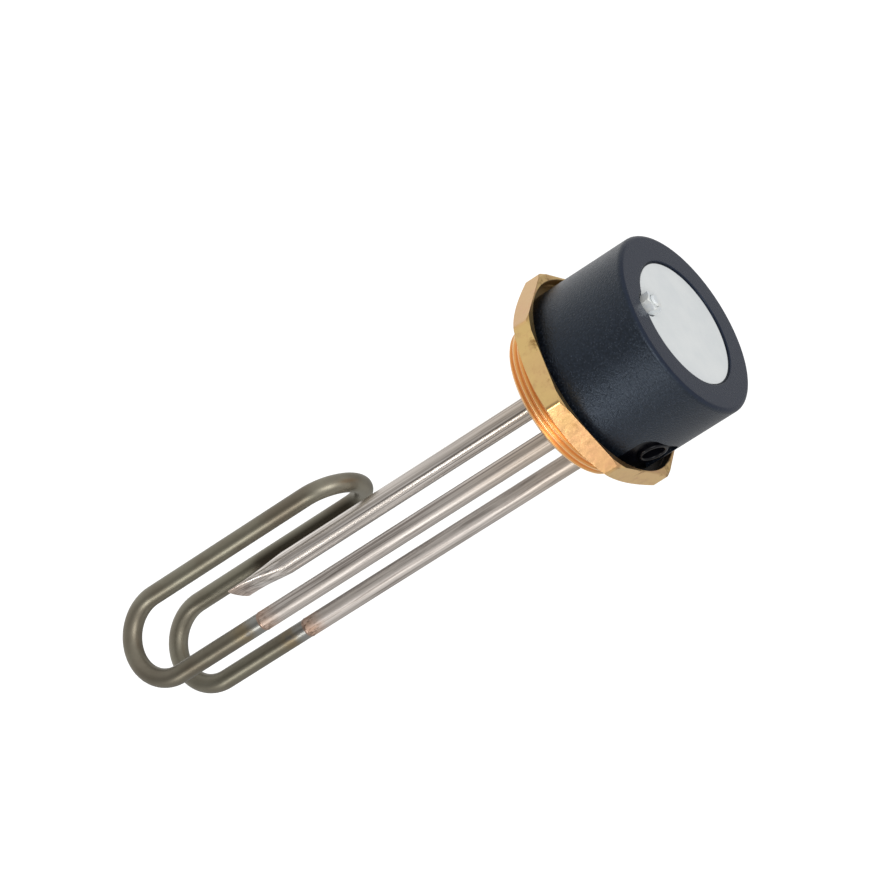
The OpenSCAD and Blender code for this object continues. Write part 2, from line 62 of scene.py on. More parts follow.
LEG_X, LEG_Y = 17.0, 15.3  # place of the far cold leg, with the near one at -LEG_Y
ACROSS = (0.0, 2 * LEG_Y, 0.0)  # from the near leg to the far one
POCKET: Point = (-5.5, 0.0)
POCKET_R = 4.7
STUD: Point = (-4.0, -24.2)
EARTH: Point = (-4.0, 23.8)
SCREW: Point = (5.5, 8.0)  # place of the far terminal screw, with the near one at -Y
SLOT: Point = (0.9, 1.0)  # width and depth of a driver slot
DISH_Z = -3.0
BOSS_END_Z = -12.0
CAP_FOOT_Z = 4.5
CAP_INNER_R = 36.6


class Operation(Enum):
    """What a tool does to a workpiece."""

    CUT = "DIFFERENCE"
    KEEP = "INTERSECT"
    JOIN = "UNION"


class Body(Enum):
    """The bodies of the CAD frame."""

    HEATER = "heater"
    DIAL = "dial"
    BUTTON = "button"


def linear(tone: Tone) -> tuple[float, float, float, float]:
    """Turns an 8-bit display colour into the shader's linear colour.

    Args:
        tone: Red, green and blue from 0 to 255.

    Returns:
        Linear red, green and blue with an alpha of 1.
    """
    parts = [c / 255 for c in tone]
    parts = [c / 12.92 if c <= 0.04045 else ((c + 0.055) / 1.055) ** 2.4 for c in parts]
    return (parts[0], parts[1], parts[2], 1.0)


def soften(corners: Sequence[tuple[float, float, float]], steps: int) -> list[Point]:
    """Rounds the corners of a turned outline.

    Args:
        corners: Radius, height and rounding of each corner in order.
        steps: Straight pieces in each rounding.

    Returns:
        The outline's points with every rounding drawn out.
    """
    points: list[Point] = []
    for i, (x, z, r) in enumerate(corners):
        if r <= 0 or i in (0, len(corners) - 1):
            points.append((x, z))
            continue
        here = Vector((x, z))
        back = (Vector(corners[i - 1][:2]) - here).normalized()
        ahead = (Vector(corners[i + 1][:2]) - here).normalized()
        half = back.angle(ahead) / 2
        reach = r / math.tan(half)
        centre = here + (back + ahead).normalized() * (r / math.sin(half))
        start = here + back * reach - centre
        end = here + ahead * reach - centre
        for k in range(steps + 1):
            share = k / steps
            spoke = start.slerp(end, share) * r
            points.append((centre.x + spoke.x, centre.y + spoke.y))
    return points


def ease(share: float) -> float:
    """Gives a slow start and a slow end to a share from 0 to 1."""
    return share * share * (3 - 2 * share)


@dataclass(frozen=True)
class Thread:
    """A rounded screw thread: its crest radius, pitch and depth in millimetres."""

    crest_r: float
    pitch: float
    depth: float

    def radius(self, share: float) -> float:
        """Gives the radius at a share of the pitch, counted from a crest."""
        return self.crest_r - self.depth / 2 * (1 - math.cos(2 * math.pi * share))


class Workpiece:
    """A mesh under way, shaped in millimetres with Blender's own tools."""

    def __init__(self, obj: bpy.types.Object, name: str) -> None:
        """Takes a new primitive in hand.

        Args:
            obj: The primitive, at its size and place.
            name: The piece's name.
        """
        self.obj = obj
        obj.name = name
        obj.data.name = name
        bpy.ops.object.transform_apply(location=True, rotation=True, scale=True)

    @staticmethod
    def clear() -> None:
        """Deselects everything, so that a tool acts on the next piece alone."""
        bpy.ops.object.select_all(action="DESELECT")

    def hold(self) -> None:
        """Selects this piece alone and makes it the active one."""
        self.clear()
        self.obj.select_set(True)
        bpy.context.view_layer.objects.active = self.obj

    @classmethod
    def circle(cls, name: str, radius: float, centre: Sequence[float], steps: int) -> "Workpiece":
        """Adds an open circle that is drawn out later.

        Args:
            name: The piece's name.
            radius: The circle's radius.
            centre: The circle's centre.
            steps: Points on the circle.

        Returns:
            The workpiece.
        """
        cls.clear()
        bpy.ops.mesh.primitive_circle_add(vertices=steps, radius=radius, location=centre)
        return cls(bpy.context.object, name)

    @classmethod
    def prism(cls, name: str, sides: int, radius: float, low: float, high: float,
              centre: Point = (0.0, 0.0), turn: float = 0.0) -> "Workpiece":
        """Adds an upright prism.

        Args:
            name: The piece's name.
            sides: Number of flats.
            radius: Radius over the corners.
            low: Height of the foot.
            high: Height of the top.
            centre: Place of the axis.
            turn: Turn about the axis in degrees.

        Returns:
            The workpiece.
        """
        cls.clear()
        bpy.ops.mesh.primitive_cylinder_add(
            vertices=sides, radius=radius, depth=high - low,
            location=(*centre, (low + high) / 2), rotation=(0, 0, math.radians(turn)))
        return cls(bpy.context.object, name)

    @classmethod
    def block(cls, name: str, low: Sequence[float], high: Sequence[float]) -> "Workpiece":
        """Adds a block between two corners.

        Args:
            name: The piece's name.
            low: The lowest corner.
            high: The highest corner.

        Returns:
            The workpiece.
        """
        cls.clear()
        size = [b - a for a, b in zip(low, high)]
        middle = [(a + b) / 2 for a, b in zip(low, high)]
        bpy.ops.mesh.primitive_cube_add(size=1, location=middle, scale=size)
        return cls(bpy.context.object, name)

    @classmethod
    def turned(cls, name: str, outline: Sequence[Point], steps: int,
               centre: Point = (0.0, 0.0), ring: bool = False) -> "Workpiece":
        """Draws a circle along a turned outline, as on a lathe.

        Args:
            name: The piece's name.
            outline: Radius and height of each stop.
            steps: Points on the circle.
            centre: Place of the axis.
            ring: Whether the outline comes back to its start, with nothing at the axis.

        Returns:
            The closed workpiece.
        """
        radius, height = outline[0]
        piece = cls.circle(name, radius, (*centre, height), steps)
        with piece.editing():
            bpy.ops.mesh.select_all(action="SELECT")
            for new_radius, new_height in [*outline[1:], *(outline[:1] if ring else [])]:
                piece.draw((0, 0, new_height - height), new_radius / radius, (*centre, new_height))
                radius, height = new_radius, new_height
            piece.close(fill=not ring)
        return piece

    @classmethod
    def threaded(cls, name: str, thread: Thread, low: float, high: float, steps: int,
                 cuts: int, centre: Point = (0.0, 0.0)) -> "Workpiece":
        """Winds one tooth of a thread round the axis and cuts the rod to length.

        Args:
            name: The piece's name.
            thread: The thread's form.
            low: Height of the lower end.
            high: Height of the upper end.
            steps: Points on one turn.
            cuts: Points that a tooth is drawn with.
            centre: Place of the axis.

        Returns:
            The closed threaded rod.
        """
        cls.clear()
        bpy.ops.mesh.primitive_plane_add(size=1)
        piece = cls(bpy.context.object, name)
        with piece.editing():
            piece.pick(lambda co: co.y > 0)
            bpy.ops.mesh.delete(type="VERT")
            bpy.ops.mesh.select_all(action="SELECT")
            bpy.ops.mesh.subdivide(number_cuts=cuts - 1)
        start = low - RUN_OUT * thread.pitch
        for vertex in piece.obj.data.vertices:
            share = vertex.co.x + 0.5
            vertex.co = (thread.radius(share), 0, start + share * thread.pitch)
        helix = piece.obj.modifiers.new("helix", "SCREW")
        helix.axis = "Z"
        helix.angle = 2 * math.pi
        helix.screw_offset = thread.pitch
        helix.iterations = math.ceil((high - low) / thread.pitch) + round(2 * RUN_OUT)
        helix.steps = helix.render_steps = steps
        piece.apply(helix)
        with piece.editing():
            bpy.ops.mesh.select_all(action="SELECT")
            bpy.ops.mesh.remove_doubles(threshold=WELD)
            bpy.ops.mesh.bisect(plane_co=(0, 0, low), plane_no=(0, 0, 1), clear_inner=True)
            bpy.ops.mesh.select_all(action="SELECT")
            bpy.ops.mesh.bisect(plane_co=(0, 0, high), plane_no=(0, 0, 1), clear_outer=True)
            piece.close()
        piece.move((*centre, 0))
        return piece

    @classmethod
    def rod(cls, name: str, thread: Thread, low: float, high: float, centre: Point = (0.0, 0.0),
            tip: float = 0.6) -> "Workpiece":
        """Winds a threaded rod and turns a cone on both ends.

        Args:
            name: The piece's name.
            thread: The thread's form.
            low: Height of the lower end.
            high: Height of the upper end.
            centre: Place of the axis.
            tip: Width and length of the cones.

        Returns:
            The rod.
        """
        crest = thread.crest_r
        rod = cls.threaded(name, thread, low, high, steps=32, cuts=8)
        lathe = cls.turned("lathe", [
            (crest - 2 * tip, low - tip), (crest + tip, low + 2 * tip),
            (crest + tip, high - 2 * tip), (crest - 2 * tip, high + tip)], steps=40)
        return rod.work(lathe, Operation.KEEP).move((*centre, 0))

    @classmethod
    def nut(cls, name: str, corner_r: float, low: float, high: float, bore_r: float, centre: Point,
            turn: float = 0.0) -> "Workpiece":
        """Makes a hexagon nut with turned rims and a countersunk bore.

        Args:
            name: The piece's name.
            corner_r: Radius over the corners.
            low: Height of the foot.
            high: Height of the top.
            bore_r: Radius of the bore.
            centre: Place of the axis.
            turn: Turn about the axis in degrees.

        Returns:
            The nut.
        """
        sides, slope = 6, 30.0
        rim, sink, flare, edge = 0.2, 0.4, 0.47, 0.12
        flat_r = corner_r * math.cos(math.pi / sides)
        drop = (corner_r - flat_r) * math.tan(math.radians(slope)) + rim / 2
        wide = corner_r + rim / 10
        nut = cls.prism(name, sides, corner_r, low, high, centre, 180 / sides + turn)
        lathe = cls.turned("lathe", [
            (flat_r / 2, low - rim), (flat_r - rim, low - rim), (wide, low + drop),
            (wide, high - drop), (flat_r - rim, high + rim), (flat_r / 2, high + rim)], 96, centre)
        nut.work(lathe, Operation.KEEP)
        drill = cls.turned("drill", [
            (bore_r + flare, low - rim / 2), (bore_r, low + sink),
            (bore_r, high - sink), (bore_r + flare, high + rim / 2)], 48, centre)
        nut.work(drill, Operation.CUT)
        return nut.bevel(edge)

    @classmethod
    def screw(cls, name: str, head_r: float, head_h: float, thread: Thread, shank_l: float, slot: Point,
              centre: Point, seat_z: float) -> "Workpiece":
        """Makes a slotted cheese-head screw.

        Args:
            name: The piece's name.
            head_r: Radius of the head.
            head_h: Height of the head.
            thread: The shank's thread.
            shank_l: Length of the shank.
            slot: Width and depth of the driver slot.
            centre: Place of the axis.
            seat_z: Height of the head's underside.

        Returns:
            The screw.
        """
        foot_edge, top_edge, overlap, tip = 0.15, 0.45, 0.6, 0.4
        top, core_r = seat_z + head_h, head_r / 3
        width, depth = slot
        head = cls.turned(name, soften([
            (core_r, seat_z, 0), (head_r, seat_z, foot_edge),
            (head_r, top, top_edge), (core_r, top, 0)], 4), 64)
        cut = cls.block("slot", (-width / 2, -head_r - PAST, top - depth),
                        (width / 2, head_r + PAST, top + PAST))
        head.work(cut, Operation.CUT)
        shank = cls.rod("shank", thread, seat_z - shank_l, seat_z + overlap, tip=tip)
        head.work(shank, Operation.JOIN)
        return head.move((*centre, 0))

    @classmethod
    def washer(cls, name: str, outer_r: float, bore_r: float, low: float, high: float,
               centre: Point) -> "Workpiece":
        """Stamps a flat washer with one rolled rim.

        Args:
            name: The piece's name.
            outer_r: Its radius.
            bore_r: Radius of its bore.
            low: Height of its foot.
            high: Height of its top.
            centre: Place of its axis.

        Returns:
            The washer.
        """
        foot_edge, bore_edge, rolled_edge = 0.08, 0.15, 0.25
        middle = (outer_r + bore_r) / 2
        outline = soften([
            (middle, low, 0), (outer_r, low, foot_edge), (outer_r, high, rolled_edge),
            (bore_r, high, bore_edge), (bore_r, low, foot_edge), (middle, low, 0)], 3)
        return cls.turned(name, outline[:-1], 56, centre, ring=True)

    def copy(self, name: str, step: Sequence[float]) -> "Workpiece":
        """Makes a moved copy with a mesh of its own.

        Args:
            name: The copy's name.
            step: The move in X, Y and Z.

        Returns:
            The copy.
        """
        self.hold()
        bpy.ops.object.duplicate()
        return Workpiece(bpy.context.object, name).move(step)

    @classmethod
    def gather(cls, parts: Sequence["Workpiece"]) -> "Workpiece":
        """Joins separate workpieces into one.

        Args:
            parts: The workpieces.

        Returns:
            The first one, which now holds all.
        """
        cls.clear()
        for part in parts:
            part.obj.select_set(True)
        bpy.context.view_layer.objects.active = parts[0].obj
        bpy.ops.object.join()
        return parts[0]

    @contextmanager
    def editing(self) -> Iterator[None]:
        """Holds the workpiece in edit mode, with nothing else selected."""
        self.hold()
        bpy.ops.object.mode_set(mode="EDIT")
        bpy.ops.mesh.select_mode(type="VERT")
        yield
        bpy.ops.object.mode_set(mode="OBJECT")

    def pick(self, test: Callable[[Vector], bool]) -> None:
        """Selects the points whose place passes a test, while editing.

        Args:
            test: Says of a place whether it is wanted.
        """
        bpy.ops.mesh.select_all(action="DESELECT")
        bpy.ops.object.mode_set(mode="OBJECT")
        for vertex in self.obj.data.vertices:
            vertex.select = test(vertex.co)
        bpy.ops.object.mode_set(mode="EDIT")

    def draw(self, step: Sequence[float], scale: float | Sequence[float] = 1.0,
             about: Sequence[float] = (0, 0, 0)) -> None:
        """Extrudes the selected loop by a step, then scales it about a point.

        Args:
            step: The move in X, Y and Z.
            scale: The loop's growth, alike in X and Y or one of each.
            about: The point that the loop grows from.
        """
        across, along = (scale, scale) if isinstance(scale, (int, float)) else scale
        bpy.ops.mesh.extrude_region_move(TRANSFORM_OT_translate={"value": tuple(step)})
        bpy.ops.transform.resize(value=(across, along, 1), center_override=tuple(about))

    def bend(self, centre: Sequence[float], axis: Sequence[float], angle: float, steps: int) -> None:
        """Spins the selected loop round an axis, as a tube bender does.

        Args:
            centre: A point on the axis.
            axis: The axis's direction.
            angle: The turn in degrees, right-handed about the axis.
            steps: Rings in the bend.
        """
        bpy.ops.mesh.spin(steps=steps, angle=-math.radians(angle), center=tuple(centre),
                          axis=tuple(axis))

    def close(self, fill: bool = True) -> None:
        """Welds the mesh, closes its open ends and turns its faces outwards.

        Args:
            fill: Whether there are open ends to close.
        """
        bpy.ops.mesh.select_all(action="SELECT")
        bpy.ops.mesh.remove_doubles(threshold=WELD)
        if fill:
            bpy.ops.mesh.fill_holes(sides=0)
        bpy.ops.mesh.select_all(action="SELECT")
        bpy.ops.mesh.normals_make_consistent(inside=False)

    def apply(self, modifier: bpy.types.Modifier) -> None:
        """Applies a modifier to the mesh."""
        self.hold()
        bpy.ops.object.modifier_apply(modifier=modifier.name)

    def work(self, tool: "Workpiece", operation: Operation) -> "Workpiece":
        """Cuts, keeps or joins with another workpiece, which is used up.

        Args:
            tool: The other workpiece.
            operation: What it does.

        Returns:
            This workpiece.
        """
        boolean = self.obj.modifiers.new("tool", "BOOLEAN")
        boolean.operation = operation.value
        boolean.solver = "EXACT"
        boolean.object = tool.obj
        self.apply(boolean)
        bpy.data.objects.remove(tool.obj)
        return self

    def move(self, step: Sequence[float], tilt: Sequence[float] = (0, 0, 0)) -> "Workpiece":
        """Turns the workpiece about the origin and then moves it.

        Args:
            step: The move in X, Y and Z.
            tilt: The turn about X, Y and Z in degrees.

        Returns:
            This workpiece.
        """
        self.hold()
        self.obj.rotation_euler = [math.radians(a) for a in tilt]
        self.obj.location = step
        bpy.ops.object.transform_apply(location=True, rotation=True, scale=True)
        return self

    def bevel(self, width: float, segments: int = 2, limit: float = 35.0) -> "Workpiece":
        """Breaks the sharp edges.

        Args:
            width: Width of the broken edge.
            segments: Faces across it.
            limit: Edges sharper than this many degrees are broken.

        Returns:
            This workpiece.
        """
        edge = self.obj.modifiers.new("edge", "BEVEL")
        edge.width = width
        edge.segments = segments
        edge.limit_method = "ANGLE"
        edge.angle_limit = math.radians(limit)
        self.apply(edge)
        return self

    def round_edges(self, tests: Sequence[Callable[[Vector], bool]], radius: float,
                    segments: int) -> "Workpiece":
        """Rounds edges one after another.

        Args:
            tests: For each edge, a test that says of a place whether it is on that edge.
            radius: Radius of the rounding.
            segments: Faces in the rounding.

        Returns:
            This workpiece.
        """
        with self.editing():
            for test in tests:
                self.pick(test)
                bpy.ops.mesh.select_mode(type="EDGE")
                bpy.ops.mesh.bevel(offset=radius, segments=segments, affect="EDGES")
                bpy.ops.mesh.select_mode(type="VERT")
            self.close(fill=False)
        return self


class Signal:
    """A shader socket that takes part in arithmetic."""

    def __init__(self, sheet: "NodeSheet", socket: bpy.types.NodeSocket) -> None:
        """Wraps a socket.

        Args:
            sheet: The node sheet that the socket is on.
            socket: An output socket.
        """
        self.sheet = sheet
        self.socket = socket

    def _math(self, operation: str, first: Value, second: Value) -> "Signal":
        """Adds a Math node for two values."""
        return self.sheet.add("ShaderNodeMath", {"operation": operation}, {0: first, 1: second}).out(0)

    def __add__(self, other: Value) -> "Signal":
        """Adds."""
        return self._math("ADD", self, other)

    def __radd__(self, other: Value) -> "Signal":
        """Adds, with the value on the right."""
        return self._math("ADD", other, self)

    def __sub__(self, other: Value) -> "Signal":
        """Subtracts."""
        return self._math("SUBTRACT", self, other)

    def __rsub__(self, other: Value) -> "Signal":
        """Subtracts, with the value on the right."""
        return self._math("SUBTRACT", other, self)

    def __mul__(self, other: Value) -> "Signal":
        """Multiplies."""
        return self._math("MULTIPLY", self, other)

    def __rmul__(self, other: Value) -> "Signal":
        """Multiplies, with the value on the right."""
        return self._math("MULTIPLY", other, self)

    def step(self, low: float, high: float) -> "Signal":
        """Rises smoothly from 0 at one value to 1 at another, which may be the lower one.

        Args:
            low: The value that gives 0.
            high: The value that gives 1.

        Returns:
            The rise.
        """
        return self.sheet.add("ShaderNodeMapRange", {"interpolation_type": "SMOOTHSTEP"},
                              {"Value": self, "From Min": low, "From Max": high}).out(0)


class Node:
    """A node on a sheet."""

    def __init__(self, sheet: "NodeSheet", node: bpy.types.Node) -> None:
        """Wraps a node.

        Args:
            sheet: The node sheet.
            node: Blender's node.
        """
        self.sheet = sheet
        self.node = node

    def out(self, key: int | str) -> Signal:
        """Gives an output by its number or name."""
        return Signal(self.sheet, self.node.outputs[key])


class NodeSheet:
    """The node tree of one finish or of the room."""

    def __init__(self, tree: bpy.types.NodeTree) -> None:
        """Starts an empty sheet.

        Args:
            tree: The node tree to draw on.
        """
        self.tree = tree
        tree.nodes.clear()

    def add(self, kind: str, settings: dict[str, Value] | None = None,
            sockets: dict[int | str, Value] | None = None) -> Node:
        """Adds a node, sets it and fills its sockets.

        Args:
            kind: Blender's node type.
            settings: Values of the node's own settings.
            sockets: Values or signals by socket number or name.

        Returns:
            The node.
        """
        node = self.tree.nodes.new(kind)
        for key, value in (settings or {}).items():
            setattr(node, key, value)
        for key, value in (sockets or {}).items():
            if isinstance(value, Signal):
                self.tree.links.new(value.socket, node.inputs[key])
            else:
                node.inputs[key].default_value = value
        return Node(self, node)

    def place(self) -> Signal:
        """Gives the Object coordinates."""
        return self.add("ShaderNodeTexCoord").out("Object")

    def axes(self) -> tuple[Signal, Signal, Signal]:
        """Gives X, Y and Z of the Object coordinates."""
        split = self.add("ShaderNodeSeparateXYZ", None, {0: self.place()})
        return split.out(0), split.out(1), split.out(2)

    def noise(self, scale: float, detail: float, stretch: Sequence[float] = (1, 1, 1),
              rough: float = 0.55) -> Signal:
        """Gives a soft noise from 0 to 1 on Object coordinates.

        Args:
            scale: Grains a metre.
            detail: Octaves of finer grain.
            stretch: Share of the scale along X, Y and Z.
            rough: Strength of the finer octaves.

        Returns:
            The noise.
        """
        spread = self.add("ShaderNodeMapping", None, {"Vector": self.place(), "Scale": tuple(stretch)})
        return self.add("ShaderNodeTexNoise", None, {
            "Vector": spread.out(0), "Scale": scale, "Detail": detail, "Roughness": rough}).out(0)

    def cells(self, scale: float) -> Signal:
        """Gives the distance to the nearest of scattered points, with so many cells a metre."""
        return self.add("ShaderNodeTexVoronoi", None, {"Vector": self.place(), "Scale": scale}).out(0)

    def coat(self, ground: Tone, *layers: tuple[Signal, Tone]) -> Value:
        """Lays colours over a ground colour, one after another.

        Args:
            ground: The colour underneath.
            layers: The mask and the colour of each layer, where a mask of 1 hides what is below.

        Returns:
            The mixed colour.
        """
        colour = linear(ground)
        for mask, tone in layers:
            mix = self.add("ShaderNodeMix", {"data_type": "RGBA"}, {0: mask, 6: colour, 7: linear(tone)})
            colour = mix.out(2)
        return colour

    def bump(self, height: Signal, distance: float, strength: float) -> Signal:
        """Turns a height into a bent normal.

        Args:
            height: Height as a share of the distance.
            distance: Height in metres.
            strength: Share of the effect.

        Returns:
            The normal.
        """
        return self.add("ShaderNodeBump", None, {
            "Height": height, "Distance": distance, "Strength": strength}).out(0)

    def surface(self, sockets: dict[int | str, Value]) -> None:
        """Ends the sheet in one surface shader.

        Args:
            sockets: Values or signals of the shader's sockets.
        """
        shader = self.add("ShaderNodeBsdfPrincipled", None, sockets)
        self.add("ShaderNodeOutputMaterial", None, {"Surface": shader.out(0)})


@dataclass(frozen=True)
class Finish:
    """A surface finish and the record's slot that it dresses."""

    slot: str

    def draw(self, sheet: NodeSheet) -> None:
        """Draws the finish on a node sheet.

        Args:
            sheet: The empty sheet.
        """
        raise NotImplementedError

    def material(self) -> bpy.types.Material:
        """Makes the finish's material.

        Returns:
            The material.
        """
        made = bpy.data.materials.new(self.slot)
        made.use_nodes = True
        self.draw(NodeSheet(made.node_tree))
        return made


@dataclass(frozen=True)
class StampedBrass(Finish):
    """Hot-stamped brass with a cut thread under the seat."""

    pale: Tone = (224, 190, 124)
    warm: Tone = (220, 175, 126)
    rose: Tone = (206, 154, 114)
    # Painted highlight tone for the square flats, then painted shade tone for the skew flats.
    painted_lit_flat: Tone = (250, 214, 146)
    painted_shaded_flat: Tone = (188, 144, 98)
    cut: Tone = (252, 216, 168)
    # Painted shade tone for the thread's roots.
    painted_root_shade: Tone = (228, 164, 104)
    stain: Tone = (132, 92, 46)
    # Painted shade tone for the hollow, then the near-black painted shadow on its +X side.
    painted_recess_shade: Tone = (98, 78, 42)
    painted_shadow: Tone = (12, 10, 8)
    flat_reach: Point = (0.0420, 0.0428)
    bore_reach: Point = (0.0428, 0.0423)
    floor_reach: Point = (0.0420, 0.0416)
    dish_reach: Point = (0.0304, 0.0301)
    root_reach: Point = (0.0325, 0.0316)
    painted_shadow_x: Point = (0.016, 0.032)
    dish_z: Point = (-0.0036, -0.0028)
    seat_z: Point = (0.0012, 0.0030)
    brim_z: Point = (0.0089, 0.0082)
    thread_z: Point = (0.0002, -0.0006)
    rim_z: Point = (0.0045, 0.0085)
    roughness: float = 0.26

    @staticmethod
    def within(square: Signal, reach: Point) -> Signal:
        """Compares a squared distance with a first distance, which gives 0, and a second, which gives 1."""
        return square.step(reach[0] ** 2, reach[1] ** 2)

    def flats(self, across: Signal, along: Signal) -> tuple[Signal, Signal]:
        """Finds the octagon's flats.

        Args:
            across: The place along X.
            along: The place along Y.

        Returns:
            Masks of the four flats square to X and Y and of the four between them.
        """
        reach = self.flat_reach
        rise, fall = across + along, across - along
        square = self.within(across * across, reach) + self.within(along * along, reach)
        skew = self.within(rise * rise * 0.5, reach) + self.within(fall * fall * 0.5, reach)
        return square, skew

    def draw(self, sheet: NodeSheet) -> None:
        """Draws clouded brass with a painted highlight on the square flats and a painted shade on the skew
        ones, a stained rim, a painted shade in the hollow that deepens to a painted shadow towards +X, and
        thread lines with a painted shade in their roots.
        """
        across, along, height = sheet.axes()
        reach = across * across + along * along
        square, skew = self.flats(across, along)
        dish = self.within(reach, self.dish_reach) * height.step(*self.dish_z)
        hollow = height.step(*self.brim_z) * (dish + (1 - dish) * height.step(*self.seat_z))
        # Painted shade on the counterbore floor and the dish, and a painted shadow over the hollow's +X side.
        painted_recess_shade = self.within(reach, self.floor_reach) * hollow
        painted_shadow = self.within(reach, self.bore_reach) * hollow * across.step(*self.painted_shadow_x)
        thread = height.step(*self.thread_z)
        # Painted shade in the thread's roots.
        painted_root_shade = thread * self.within(reach, self.root_reach)
        flange = 1 - thread
        rim = height.step(*self.rim_z)
        cloud = sheet.noise(38, 4)
        blotch = sheet.noise(210, 5, rough=0.65).step(0.48, 0.70) * flange
        stain = sheet.noise(190, 6, rough=0.68).step(0.54, 0.72) * (0.15 + rim * 0.60) * flange
        grain = sheet.noise(1500, 3)
        dent = sheet.noise(170, 3)
        lines = sheet.noise(900, 2, (0.05, 0.05, 9.0))
        relief = (dent + grain * 0.03) * flange + lines * 0.10 * thread
        wear_and_sheen = cloud * 0.08 + stain * 0.15 + painted_recess_shade * 0.15
        sheet.surface({
            "Base Color": sheet.coat(
                # Square flats get a painted highlight, skew flats a painted shade.
                self.pale, (cloud.step(0.35, 0.68), self.warm), (square * 0.6, self.painted_lit_flat),
                (skew * 0.55, self.painted_shaded_flat), (blotch * 0.45, self.rose), (thread, self.cut),
                # Painted shade in the thread's roots and in the hollow; the stain is real.
                (painted_root_shade * 0.8, self.painted_root_shade), (stain, self.stain), (painted_recess_shade * 0.95, self.painted_recess_shade),
                # Painted shadow over the hollow's +X side.
                (painted_shadow * 0.97, self.painted_shadow)),
            "Metallic": 1.0,
            "Roughness": self.roughness + wear_and_sheen + thread * (lines * 0.1 + 0.02),
            "Normal": sheet.bump(relief, 0.00016, 0.8),
        })


@dataclass(frozen=True)
class SparkMoulding(Finish):
    """Dark moulding with a spark-eroded grain on its wall and a smoother top."""

    shade: Tone = (6, 9, 15)
    # Lighter grain tone, also used for the painted glints.
    light: Tone = (28, 35, 46)
    top: Tone = (8, 17, 38)
    rim_z: Point = (0.0480, 0.0494)
    roughness: float = 0.25

    def draw(self, sheet: NodeSheet) -> None:
        """Draws the grain, its fine glints, painted lighter into the colour, and the smoother rim."""
        _, _, height = sheet.axes()
        rim = height.step(*self.rim_z)
        grain = sheet.noise(1150, 4, rough=0.6)
        glint = sheet.cells(1050).step(0.36, 0.10)
        cloud = sheet.noise(60, 3)
        # The grain tone is real; the cell specks are painted glints.
        grain_and_painted_glint = grain.step(0.35, 0.75) * 0.55 + glint * 0.45
        relief = (grain * 0.8 + glint * 0.35) * (1 - rim * 0.7)
        sheet.surface({
            "Base Color": sheet.coat(self.shade, (grain_and_painted_glint, self.light), (rim * 0.85, self.top)),
            "Roughness": self.roughness + cloud * 0.06 + grain * 0.06 - rim * 0.03,
            "Specular IOR Level": 0.47,
            "Specular Tint": (0.69, 0.82, 1.0, 1),
            "Normal": sheet.bump(relief, 0.00030, 1.0),
        })


@dataclass(frozen=True)
class BareLabel(Finish):
    """A pale satin label with nothing printed on it."""

    face: Tone = (222, 225, 225)
    shade: Tone = (215, 219, 220)

    def draw(self, sheet: NodeSheet) -> None:
        """Draws a faint cloud, fine lay lines and a soft gloss."""
        cloud = sheet.noise(90, 4)
        lay = sheet.noise(2400, 2, (0.04, 1.0, 1.0))
        sheet.surface({
            "Base Color": sheet.coat(self.face, (cloud.step(0.3, 0.7), self.shade)),
            "Roughness": 0.34 + cloud * 0.10 + lay * 0.06,
            "Normal": sheet.bump(lay, 0.00001, 0.4),
        })


@dataclass(frozen=True)
class ZincPlate(Finish):
    """Satin zinc plate with a white bloom and a trace of yellow and blue."""

    bright: Tone = (232, 236, 237)
    yellow: Tone = (224, 220, 204)
    blue: Tone = (212, 220, 228)

    def draw(self, sheet: NodeSheet) -> None:
        """Draws the drifting tint, the bloom and a finely crystalline face."""
        drift = sheet.noise(260, 3)
        crystal = sheet.noise(4200, 3)
        bloom = 0.5 + crystal * 0.4
        sheet.surface({
            "Base Color": sheet.coat(self.yellow, (drift.step(0.35, 0.65), self.blue), (bloom, self.bright)),
            "Metallic": 0.25 + drift * 0.25,
            "Roughness": 0.28 + drift * 0.14 + crystal * 0.06,
            "Normal": sheet.bump(crystal, 0.00001, 0.5),
        })


@dataclass(frozen=True)
class DrawnTube(Finish):
    """Drawn and tinned tube with long streaks, tinted by the torch at its lower end."""

    bright: Tone = (238, 231, 224)
    dull: Tone = (184, 176, 168)
    satin: Tone = (162, 155, 149)
    brown: Tone = (104, 94, 87)
    warm: Tone = (186, 169, 150)
    copper: Tone = (194, 152, 122)
    scorch: Tone = (92, 74, 60)
    leg_x: Point = (0.004, 0.010)
    warm_z: Point = (-0.075, -0.012)
    tint_z: Point = (-0.1535, -0.1640)
    tip_z: Point = (-0.1680, -0.1800)

    def draw(self, sheet: NodeSheet) -> None:
        """Draws streaks and scratches along the tube, smears, and the torch's tint on legs and pocket."""
        across, _, height = sheet.axes()
        leg = across.step(*self.leg_x)
        streak = sheet.noise(1100, 3, (1.0, 1.0, 0.006))
        line = sheet.noise(700, 2, (1.0, 1.0, 0.004)).step(0.54, 0.66)
        smear = sheet.noise(120, 4, (1.0, 1.0, 0.25))
        scratch = sheet.noise(950, 4, (1.0, 1.0, 0.03), 0.65).step(0.50, 0.66) * (0.65 + leg * 0.35)
        torch = (leg * height.step(*self.tint_z) * (smear * 1.7 - 0.15)
                 + (1 - leg) * height.step(*self.tip_z) * 0.55)
        speck = sheet.noise(1100, 4, (1.0, 1.0, 0.35)).step(0.48, 0.64)
        sheet.surface({
            "Base Color": sheet.coat(
                self.bright, (streak.step(0.38, 0.66), self.dull), (leg * 0.55, self.satin),
                (height.step(*self.warm_z) * 0.6, self.warm), (line * 0.8, self.brown),
                (scratch * 0.55, self.brown), (torch * 0.6, self.copper), (torch * speck * 0.8, self.scorch)),
            "Metallic": 1.0,
            "Roughness": 0.26 + leg * 0.14 + streak * 0.08 + smear * 0.10 + torch * 0.10,
            "Normal": sheet.bump(streak, 0.00002, 0.25),
        })


